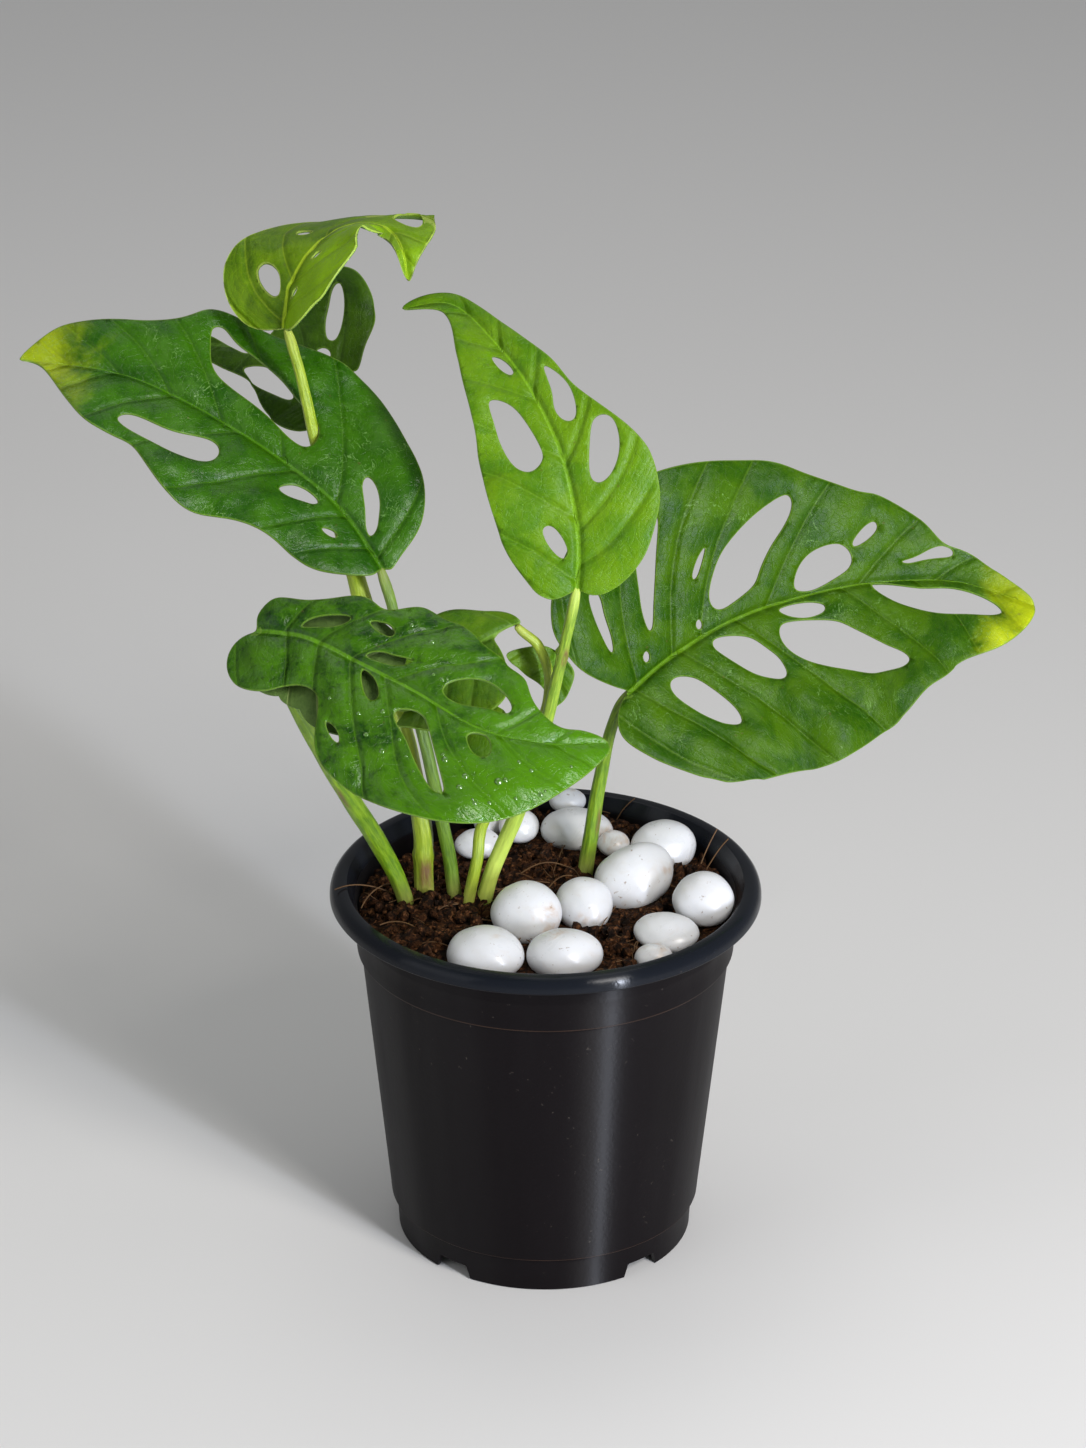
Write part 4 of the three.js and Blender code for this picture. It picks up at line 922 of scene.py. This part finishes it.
LEAVES = {
    'leaf_left': dict(
        midrib=[(-49, 12, 216), (-60, 22, 229), (-73, 29, 239), (-98, 38, 253), (-127, 45, 265),
                (-160, 46, 270)],
        face=[(0.19, -0.72, 0.67), (0.23, -0.6, 0.77), (0.08, -0.52, 0.85)],
        fold=(13, 13), curl=-0.007, ripple=(2.2, 38, 0.5), half=36,
        veins=([-8, 8, 20, 41, 62, 84, 104, 118], [-10, 4, 25, 46, 68, 86, 102, 117]),
        sweep=(0.35, 1.3, 0.004), puff=1.0, crumple=0.12, hem=0.4),
    'leaf_middle': dict(
        midrib=[(9, -8, 218), (9, -2, 235), (4, 7, 256), (-6, 19, 273), (-17, 31, 283), (-29, 43, 289),
                (-45, 44, 287)],
        face=[(0, -0.96, 0.29), (-0.1, -0.9, 0.43), (-0.09, -0.61, 0.78), (-0.12, -0.21, 0.97)],
        fold=(8, 8), curl=-0.008, ripple=(1.6, 34, 1), half=26,
        veins=([-6, 3, 22, 40, 59, 78, 95], [-6, 8, 18, 38, 62, 80, 96]),
        sweep=(0.5, 1.3, 0.01), puff=0.7, crumple=0.05),
    'leaf_right': dict(
        midrib=[(25, 18, 173), (38, 29, 180), (58, 42, 187), (80, 53, 190), (102, 61, 191), (128, 66, 189),
                (153, 63, 182)],
        face=[(0.38, -0.78, 0.49), (0.32, -0.8, 0.51), (0.05, -0.74, 0.67)],
        fold=(16, 16), curl=-0.0035, ripple=(2, 44, 0.4), half=48,
        veins=([-14, 4, 19, 30, 54, 86, 111, 130], [-8, 2, 22, 43, 80, 104, 129]),
        sweep=(0.25, 1.2, 0.004), puff=1.3, crumple=0.06),
    'leaf_front': dict(
        midrib=[(-85, -30, 215), (-70, -37, 216), (-54, -48, 213), (-37, -58, 208), (-20, -66, 201),
                (-1, -68, 197), (19, -64, 195)],
        face=[(-0.41, -0.56, 0.72), (0, -0.55, 0.83), (0.22, -0.6, 0.77)],
        fold=(6, 6), curl=-0.01, ripple=(2.2, 36, 2), half=34,
        veins=([-6, 9, 21, 33, 48, 82, 98], [-6, 10, 21, 33, 45, 63, 84, 100]),
        sweep=(0.3, 1.2, 0.006), puff=1.4, crumple=0.24),
    'leaf_top': dict(
        midrib=[(-79.1, 43.9, 279.5), (-77.7, 47.7, 290.2), (-73.4, 51.6, 299.3), (-67.4, 57.5, 304.4),
                (-60.4, 61.2, 307.4), (-53.4, 62.5, 308), (-47.7, 61.7, 305.9), (-43.5, 51.4, 303.5),
                (-41.8, 46.7, 293.3)],
        face=[(-0.49, -0.33, 0.81), (-0.18, -0.38, 0.91), (-0.21, -0.17, 0.96), (-0.37, 0.07, 0.93),
              (-0.43, -0.01, 0.9), (-0.35, -0.17, 0.92), (-0.25, -0.3, 0.92)],
        fold=(18, 41), tip_fold=(-23, -11), curl=-0.006, ripple=(0, 24, 0), half=22,
        veins=([-5, 3, 16, 33, 56, 68], [-6, 5, 15, 27, 40, 56]),
        sweep=(0.5, 1, 0.01), puff=0.3, crumple=0.04, tight=True),
    'leaf_back': dict(
        midrib=[(-65, 82, 252), (-77, 88, 256), (-89, 92, 257), (-100, 94, 256), (-111, 97, 256)],
        face=[(-0.19, -0.73, 0.66)],
        fold=(6, 6), curl=-0.006, ripple=(1.5, 30, 1), half=28,
        veins=([-6, -1, 12, 27, 40], [-8, 0, 12, 25, 38]),
        sweep=(0.3, 1, 0.008), puff=0.5, crumple=0.12),
    'leaf_inner': dict(
        midrib=[(-6, 0, 205), (-14, -2, 202), (-23, -6, 198), (-32, -12, 193), (-43, -20, 186)],
        face=[(-0.16, -0.49, 0.86)],
        fold=(8, 8), curl=-0.008, ripple=(1, 26, 0), half=20,
        veins=([-4, 6, 16, 26, 36], [-6, 4, 15, 25, 36]),
        sweep=(0.5, 1, 0.01), puff=0.4, crumple=0.06, root=3.2, sink=0.1),
    'leaf_inner_small': dict(
        midrib=[(3, 9, 192.2), (3, 7.6, 186), (2, 6.2, 179.6), (0, 4.6, 173)],
        face=[(0.1, -0.94, 0.34)],
        fold=(10, 10), curl=0.0001, ripple=(0.5, 16, 0), half=12,
        veins=([-3, 4, 10, 16], [-4, 3, 9, 15]),
        sweep=(0.5, 1, 0.01), puff=0.25, crumple=0.08),
}


class Blade:
    """The curved sheet that one leaf lies on."""

    def __init__(self, leaf):
        self.leaf = leaf
        self.places, self.headings, self.length = smooth_line(leaf['midrib'])
        self.end = self.length[-1]
        self.step = np.linspace(0, 1, len(self.places))
        self.faces = unit(np.array(leaf['face'], float))

    def frame(self, along):
        reach = np.clip(along, 0, self.end)
        place = read_line(self.length, self.places, reach)
        heading = unit(read_line(self.length, self.headings, reach))
        place = place + (along - reach)[..., None] * heading
        where = np.interp(reach, self.length, self.step) * (len(self.faces) - 1)
        face = read_line(np.arange(len(self.faces)), self.faces, where)
        face = unit(face - (face * heading).sum(-1, keepdims=True) * heading)
        return place, heading, face, np.cross(face, heading)

    def at(self, along, across):
        place, heading, face, side = self.frame(along)
        share = np.clip(along / self.end, 0, 1)
        left, right = np.radians(self.leaf['fold'])
        left_tip, right_tip = np.radians(self.leaf.get('tip_fold', self.leaf['fold']))
        fold = np.where(across < 0, right + (right_tip - right) * share, left + (left_tip - left) * share)
        curl = self.leaf['curl']
        turn = fold + curl * np.abs(across)
        sideways = (np.sin(turn) - np.sin(fold)) / curl * np.sign(across)
        height, length, phase = self.leaf['ripple']
        wave = np.sin(2 * np.pi * along / length + phase + np.where(across < 0, -1.3, 1.3))
        lift = (np.cos(fold) - np.cos(turn)) / curl + height * (across / self.leaf['half']) ** 2 * wave
        return place + sideways[..., None] * side + lift[..., None] * face

    def normal(self, along, across, step=0.3):
        forward = self.at(along + step, across) - self.at(along - step, across)
        sideways = self.at(along, across + step) - self.at(along, across - step)
        return unit(np.cross(forward, sideways))

    def settled(self, guess, points):
        """Where points lie on the blade, found from a near guess: along it, across it, and above it."""
        along, across, above = guess.T.copy()
        nudge = 0.1
        for _ in range(9):
            normal = self.normal(along, across)
            miss = self.at(along, across) + above[:, None] * normal - points
            by_along = (self.at(along + nudge, across) - self.at(along - nudge, across)) / (2 * nudge)
            by_across = (self.at(along, across + nudge) - self.at(along, across - nudge)) / (2 * nudge)
            change = np.linalg.solve(np.stack([by_along, by_across, normal], -1), miss[..., None])[..., 0]
            change = np.clip(change, -1.5, 1.5)
            along, across, above = along - change[:, 0], across - change[:, 1], above - change[:, 2]
        return np.column_stack([along, across, above])

    def flat(self, piece, points):
        """Where a piece's points lie on the blade, spread from its middle to neighbour after neighbour."""
        middle = self.at(np.array([0.35 * self.end]), np.array([0.0]))[0]
        first = int(np.linalg.norm(points - middle, axis=1).argmin())
        found = np.zeros((len(points), 3))
        known = np.zeros(len(points), dtype=bool)
        found[first] = self.settled(np.array([[0.35 * self.end, 0, 0]]), points[first:first + 1])[0]
        known[first] = True
        ends = np.empty(2 * len(piece.data.edges), dtype=np.int32)
        piece.data.edges.foreach_get('vertices', ends)
        ends = ends.reshape(-1, 2)
        ends = np.vstack([ends, ends[:, ::-1]])
        while not known.all():
            front = ends[known[ends[:, 0]] & ~known[ends[:, 1]]]
            if len(front) == 0:
                break
            fresh, start = np.unique(front[:, 1], return_index=True)
            found[fresh] = self.settled(found[front[start, 0]], points[fresh])
            known[fresh] = True
        return found


def side_veins(leaf, end, along, across):
    """Counts the side veins from base to tip, with whole numbers on the veins, and gives the room between."""
    lean, more, bend = leaf['sweep']
    reach = np.abs(across)
    widen = 1 + more * reach / end
    origin = (along - lean * reach - bend * reach ** 2) / widen
    count, room = np.zeros(len(along)), np.zeros(len(along))
    for half, mask in zip(leaf['veins'], (across >= 0, across < 0)):
        starts = np.array([half[0] - 40, *half, half[-1] + 20, half[-1] + 40], float)
        numbers = np.arange(len(starts))
        count[mask] = np.interp(origin[mask], starts, numbers)
        gaps = np.diff(starts)
        middles = (starts[1:] + starts[:-1]) / 2
        slope = lean + more * origin[mask] / end + 2 * bend * reach[mask]
        room[mask] = np.interp(origin[mask], middles, gaps) * widen[mask] / np.sqrt(1 + slope ** 2)
    return count, room


LEAF_LEVELS = 3
# A rim's edges are sharper than this angle, and lie flatter than this height in the flat blade
RIM_ANGLE = 50
RIM_STEP = 0.4


def crease_rims(piece):
    """Creases the sharp edges that run along a flat blade's rims, and not those that cross its thickness."""
    open_mesh(piece, 'DESELECT')
    bpy.ops.mesh.select_mode(type='EDGE')
    bpy.ops.mesh.edges_select_sharp(sharpness=math.radians(RIM_ANGLE))
    close_mesh()
    mesh = piece.data
    level = points_of(piece)[:, 2]
    kept = [edge.index for edge in mesh.edges
            if edge.select and abs(level[edge.vertices[0]] - level[edge.vertices[1]]) < RIM_STEP]
    for group in (mesh.vertices, mesh.edges, mesh.polygons):
        group.foreach_set('select', np.zeros(len(group), dtype=bool))
    for number in kept:
        mesh.edges[number].select = True
    bpy.ops.object.mode_set(mode='EDIT')
    bpy.ops.transform.edge_crease(value=1)
    close_mesh()


def rim_distance(piece, flat):
    """How far each point of a flat blade lies from its nearest rim."""
    on_rim = set()
    for polygon, upright in zip(piece.data.polygons, np.abs(normals_of(piece.data.polygons)[:, 2])):
        if upright < 0.5:
            on_rim.update(polygon.vertices)
    tree = tree_of(flat, on_rim)
    return np.array([tree.find(point)[2] for point in flat])


def relief_of(leaf, end, along, across, edge, count, room):
    """The low relief of a blade: pillows between the side veins, grooves on them, waves and puckers."""
    reach = np.abs(across)
    inner = np.clip(edge / 7, 0, 1) * np.clip(reach / 5, 0, 1)
    puffed = leaf['puff'] * (np.cos(2 * np.pi * count) * -0.5 + 0.5) * np.clip(room / 16, 0.3, 1.2) * inner
    off = np.abs(count - np.round(count)) * room
    groove = 0.3 * np.exp(-(off / 1.1) ** 2) * np.clip(edge / 4, 0, 1)
    spine = 0.5 * np.exp(-(reach / 1.3) ** 2) * np.clip(1 - along / end, 0.15, 1)
    roll = 0.35 * np.sin(along / 4.1 + 1) * np.sin(reach / 3.7 + 0.6 * np.sin(along / 6)) * inner
    bent_along, bent_across = 1.7 * np.sin(across / 5.3), 1.3 * np.sin(along / 4.7)
    wave = (np.sin(along / 1.9 + bent_along) * np.cos(across / 1.7 + bent_across)
            + 0.6 * np.sin(along / 3.1 - across / 2.3 + 2) + 0.5 * np.cos(across / 2.9 + along / 6.1))
    patchy = 0.5 + 0.5 * np.sin(along / 13 + 1) * np.cos(across / 9 + 0.5)
    crumple = leaf['crumple'] * wave * patchy * np.clip(edge / 3, 0, 1) * np.clip(reach / 3, 0.2, 1)
    margin = (np.clip((across - 10) / 8, 0, 1) * np.clip((0.75 - along / end) / 0.2, 0, 1)
              * np.clip(edge / 2, 0, 1))
    pucker = leaf.get('hem', 0) * margin * np.sin(along / 2.1 - across / 5) * np.cos(across / 3.1 + along / 9)
    return puffed - groove - spine + roll + (crumple + pucker)


def write_blade(piece, blade, along, across, **values):
    """Writes what a blade's skin reads."""
    write_uv(piece, along / 100, across / 100)
    for name, value in values.items():
        write_values(piece, name.replace('_', ' '), value)
    write_values(piece, 'share', along / blade.end)


def make_leaf(node, material, slot):
    leaf = LEAVES[node]
    blade = Blade(leaf)
    piece = copy_of(node, node.replace('leaf', 'blade'))
    solid = points_of(piece) - POT
    put_points(piece, blade.flat(piece, solid))
    crease_rims(piece)
    if leaf.get('tight'):
        rolled = twin(piece)
        put_points(rolled, solid)
        smoothed(rolled, LEAF_LEVELS)
    smoothed(piece, LEAF_LEVELS)
    along, across, above = points_of(piece).T
    flat = np.column_stack([along, across, 0 * along])
    count, room = side_veins(leaf, blade.end, along, across)
    edge = rim_distance(piece, flat)
    thin = 1 - 0.42 * np.exp(-(edge / 1.4) ** 2)
    relief = relief_of(leaf, blade.end, along, across, edge, count, room)
    if leaf.get('tight'):
        tree = tree_of(flat, np.nonzero(above > 0.3)[0])
        normal = normals_of(rolled.data.vertices)[[tree.find(point)[1] for point in flat]]
        laid = points_of(rolled) + (above * (thin - 1) + relief)[:, None] * normal
        bpy.data.objects.remove(rolled, do_unlink=True)
    else:
        laid = blade.at(along, across) + (above * thin + relief)[:, None] * blade.normal(along, across)
    put_points(piece, laid + POT)
    write_blade(piece, blade, along, across, veins=count, vein_room=room, edge=edge,
                under=np.clip(-above / 0.3, 0, 1))
    only(piece)
    bpy.ops.object.shade_smooth_by_angle(angle=math.radians(60))
    return finish_piece(piece, material, slot, [node])


def make_leaves():
    deep = leaf_skin('deep green blade', (0.012, 0.068, 0.0005), (0.032, 0.12, 0.001), (0.07, 0.19, 0.005),
                     0.22, shine_level=0.22, midrib_show=0.35, yellow_tip=0.6, tip_from=0.93, stains=0.6,
                     patchy=0.3)
    broad = leaf_skin('broad bright blade', (0.016, 0.066, 0.0005), (0.048, 0.12, 0.0008), (0.1, 0.21, 0.006),
                      0.28, shine_level=0.12, midrib_show=0.5, yellow_tip=1.0, tip_from=1.0, stains=0.45,
                      patchy=0.2, groove_shade=0.34)
    fresh = leaf_skin('fresh green blade', (0.06, 0.17, 0.001), (0.115, 0.24, 0.002), (0.15, 0.31, 0.01), 0.3,
                      midrib_show=0.4, stains=0.35, patchy=0.25, groove_shade=0.16)
    glossy = leaf_skin('glossy wet blade', (0.006, 0.042, 0.0003), (0.048, 0.15, 0.0008), (0.09, 0.23, 0.005),
                       0.17, shine_level=0.28, midrib_show=0.5, wet=0.11, painted_glow=0.7, patchy=0.62)
    young = leaf_skin('young yellow-green blade', (0.07, 0.16, 0.001), (0.15, 0.28, 0.003),
                      (0.34, 0.48, 0.02), 0.32, midrib_show=0.8, painted_glow=0.5, painted_right_light=0.8,
                      rim=(0.4, 0.5, 0.1), groove_shade=0.18)
    # The back blade's darker greens are painted shade: it lies behind the other blades.
    shaded = leaf_skin('shaded dark blade', (0.02, 0.06, 0.001), (0.045, 0.11, 0.002), (0.08, 0.17, 0.02), 0.34,
                       midrib_show=0.4)
    inner = leaf_skin('shaded inner blade', (0.04, 0.12, 0.002), (0.1, 0.2, 0.004), (0.14, 0.27, 0.03), 0.32,
                      midrib_show=0.4, groove_shade=0.12)
    pieces = {}
    for node, material, slot in (
            ('leaf_left', deep, 'leaf_deep'), ('leaf_middle', fresh, 'leaf_deep'),
            ('leaf_right', broad, 'leaf_deep'), ('leaf_front', glossy, 'leaf_deep'),
            ('leaf_top', young, 'leaf_young'), ('leaf_back', shaded, 'leaf_dark'),
            ('leaf_inner', inner, 'leaf_deep'), ('leaf_inner_small', inner, 'leaf_deep')):
        pieces[node] = make_leaf(node, material, slot)
    make_sheet('rolled lobe', 'leaf_front', ROLLED_LOBE, 4, inner, 1)
    make_sheet('inner blade edge', 'leaf_inner', INNER_EDGE, 1.2, inner, 0)
    return pieces


# Parts of the blades that the solids leave out: a lobe rolled in under the front blade, and the inner
# blade's lower edge. Each is an outline in the flat, laid below its blade.

ROLLED_LOBE = [(-2, -10), (2, -17), (14, -18.5), (26, -20), (37, -23), (43, -22), (49, -15), (50, -5),
               (47, 6), (44, 14), (34, 16), (20, 13), (8, 6), (0, -2)]
INNER_EDGE = [(30, 18), (27, 25), (31, 32), (37, 37), (44, 34), (47, 28), (45.5, 20), (46.5, 14), (50, 7),
              (52, 3), (46, 1), (39, 7)]
SHEET_STEPS = 60
SHEET_THICKNESS = 0.7


def make_sheet(name, leaf, outline, depth, material, turned_over):
    blade = Blade(LEAVES[leaf])
    bpy.ops.mesh.primitive_grid_add(x_subdivisions=SHEET_STEPS, y_subdivisions=SHEET_STEPS, size=2 * MM)
    sheet = named(name)
    points = points_of(sheet)
    square = np.abs(points[:, :2]).max(1)
    angle = np.arctan2(points[:, 1], points[:, 0])
    outline = np.array(outline, float)
    middle = outline.mean(0)
    arms = outline - middle
    turns = np.arctan2(arms[:, 1], arms[:, 0])
    order = np.argsort(turns)
    reach = np.interp(angle, turns[order], np.linalg.norm(arms, axis=1)[order], period=2 * np.pi)
    along = middle[0] + square * reach * np.cos(angle)
    across = middle[1] + square * reach * np.sin(angle)
    normal = blade.normal(along, across)
    drop = depth * np.clip(0.2 + (along + 2) / 12, 0.2, 1) + 0.8 * np.sin(along / 3.5) * np.cos(across / 4)
    put_points(sheet, blade.at(along, across) - drop[:, None] * normal + POT)
    count, room = side_veins(LEAVES[leaf], blade.end, along, across)
    write_blade(sheet, blade, along, across, veins=count, vein_room=room, edge=(1 - square) * reach,
                under=np.full(len(along), float(turned_over)))
    modify(sheet, 'SOLIDIFY', thickness=SHEET_THICKNESS * MM, offset=0)
    only(sheet)
    bpy.ops.object.shade_smooth_by_angle(angle=math.radians(60))
    return finish_piece(sheet, material, 'leaf_deep')


# Drops on the front blade: way along it, way across it, and radius before the scale below
DROPS = [
    (79.2, -20.3, 1.2), (79.4, -16, 1.3), (86.3, -15.5, 1.4), (88, -14.8, 0.9), (85.8, -22.1, 0.9),
    (83.3, -24.3, 0.9), (82.5, -23, 0.6), (74, -14.5, 1.1), (73, -13.2, 0.7), (61.1, -15.9, 0.7),
    (59.9, -21.4, 1), (43, 17.2, 0.8), (50.6, 17, 1.1), (57.1, 7.8, 0.7), (60.3, 7.3, 0.8), (61.5, 8, 0.5),
    (94.2, -9.2, 0.9), (96.8, -17.1, 1), (98, -16, 0.6), (52.5, -10.6, 0.9), (51.8, -20, 1),
    (45.9, -15.7, 0.8), (36.1, -14.7, 0.7), (90.6, -6.6, 0.8), (66, -19, 0.6), (70, -22, 0.5),
    (91, -20, 0.7), (104, -8, 0.6),
]
DROP_SCALE = 0.85


def make_drops(front_blade):
    blade = Blade(LEAVES['leaf_front'])
    points = points_of(front_blade) - POT
    tree = tree_of(points, range(len(points)))
    drops = []
    for number, (along, across, radius) in enumerate(DROPS):
        along, across = np.array([along]), np.array([across])
        upright = Vector(blade.normal(along, across)[0])
        near = tree.find(blade.at(along, across)[0] + 3 * np.array(upright))[0]
        bpy.ops.mesh.primitive_uv_sphere_add(segments=24, ring_count=14, radius=DROP_SCALE * radius * MM,
                                             location=spot(*near),
                                             rotation=upright.to_track_quat('Z', 'Y').to_euler(),
                                             scale=(1, 0.75 + 0.1 * (number % 4), 0.5))
        drops.append(named(f'drop {number}'))
    return finish_piece(joined(drops, 'water drops'), water(), 'leaf_deep')


# Scene: floor, light and the camera at the photograph's angle. Places here are metres in the shared frame.

FLOOR_SIZE = 12
ROOM_TINT = (0.95, 0.97, 1.0, 1)
ROOM_LIGHT = 0.27
AIM = Vector((0, 0, 0.17))
# Name, place, width, height, power in watts and tint of each light
LAMPS = [
    ('key light', (0.72, -0.98, 1.05), 0.4, 0.55, 15, (1.0, 0.97, 0.94)),
    ('low light', (0.82, -1.06, 0.3), 0.08, 0.5, 16, (0.8, 0.86, 1.0)),
    ('fill light', (-1.1, -0.7, 0.7), 1.0, 1.0, 3, (0.95, 0.97, 1.0)),
    ('top light', (-0.1, 0.5, 1.4), 0.9, 0.9, 3, (1.0, 1.0, 1.0)),
]


def make_stage():
    bpy.ops.mesh.primitive_plane_add(size=FLOOR_SIZE, location=(0, 0, 0))
    floor = named('pale floor')
    paint = Paint('pale floor', Roughness=0.8)
    tone = paint.noise(paint.place(), 1.5, 2)
    floor.data.materials.append(paint.finish(paint.mix(tone, (0.74, 0.73, 0.71), (0.76, 0.75, 0.73))))

    world = bpy.data.worlds.new('soft room')
    bpy.context.scene.world = world
    world.use_nodes = True
    background = world.node_tree.nodes['Background']
    background.inputs['Color'].default_value = ROOM_TINT
    background.inputs['Strength'].default_value = ROOM_LIGHT
    for name, place, wide, high, power, tint in LAMPS:
        bpy.ops.object.light_add(type='AREA', location=place)
        lamp = bpy.context.object
        lamp.name = name
        lamp.data.shape = 'RECTANGLE'
        lamp.data.size, lamp.data.size_y = wide, high
        lamp.data.energy = power
        lamp.data.color = tint
        lamp.rotation_euler = (AIM - Vector(place)).to_track_quat('-Z', 'Y').to_euler()


# The camera's tilt and roll in radians, its distance from the point it looks at, and that point
CAMERA_PITCH = 0.443
CAMERA_ROLL = 0.004
CAMERA_DISTANCE = 1504.9
LOOK_AT = (-0.98, 0, 170.96)
# The focal length and the height of the picture, in pixels of the photograph, and a sensor of that height
FOCAL_PIXELS = 5000
PHOTO_HEIGHT = 1448
SENSOR = 36


def make_camera():
    bpy.ops.object.camera_add()
    camera = bpy.context.object
    camera.name = 'photo camera'
    camera.data.sensor_width = SENSOR
    camera.data.lens = SENSOR * FOCAL_PIXELS / PHOTO_HEIGHT
    camera.data.clip_start, camera.data.clip_end = 0.05, 50
    look = Vector(np.array(LOOK_AT) + POT) * MM
    ahead = Vector((0, math.cos(CAMERA_PITCH), -math.sin(CAMERA_PITCH)))
    camera.location = look - ahead * CAMERA_DISTANCE * MM
    camera.rotation_euler = (math.pi / 2 - CAMERA_PITCH, 0, 0)
    camera.rotation_euler.rotate_axis('Z', CAMERA_ROLL)
    bpy.context.scene.camera = camera
    bpy.context.scene.view_settings.view_transform = 'Standard'


make_camera()
make_stage()
SOIL = wet_soil()
STONES = list(stone_places())
chance = np.random.default_rng(SEED)
make_pot()
soil_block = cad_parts['soil']
soil_block.data.materials.clear()
soil_block.data.materials.append(SOIL)
make_bed(chance)
make_crumbs(chance)
make_fibres(chance)
make_pebbles()
make_stalks()
blades = make_leaves()
make_drops(blades['leaf_front'])
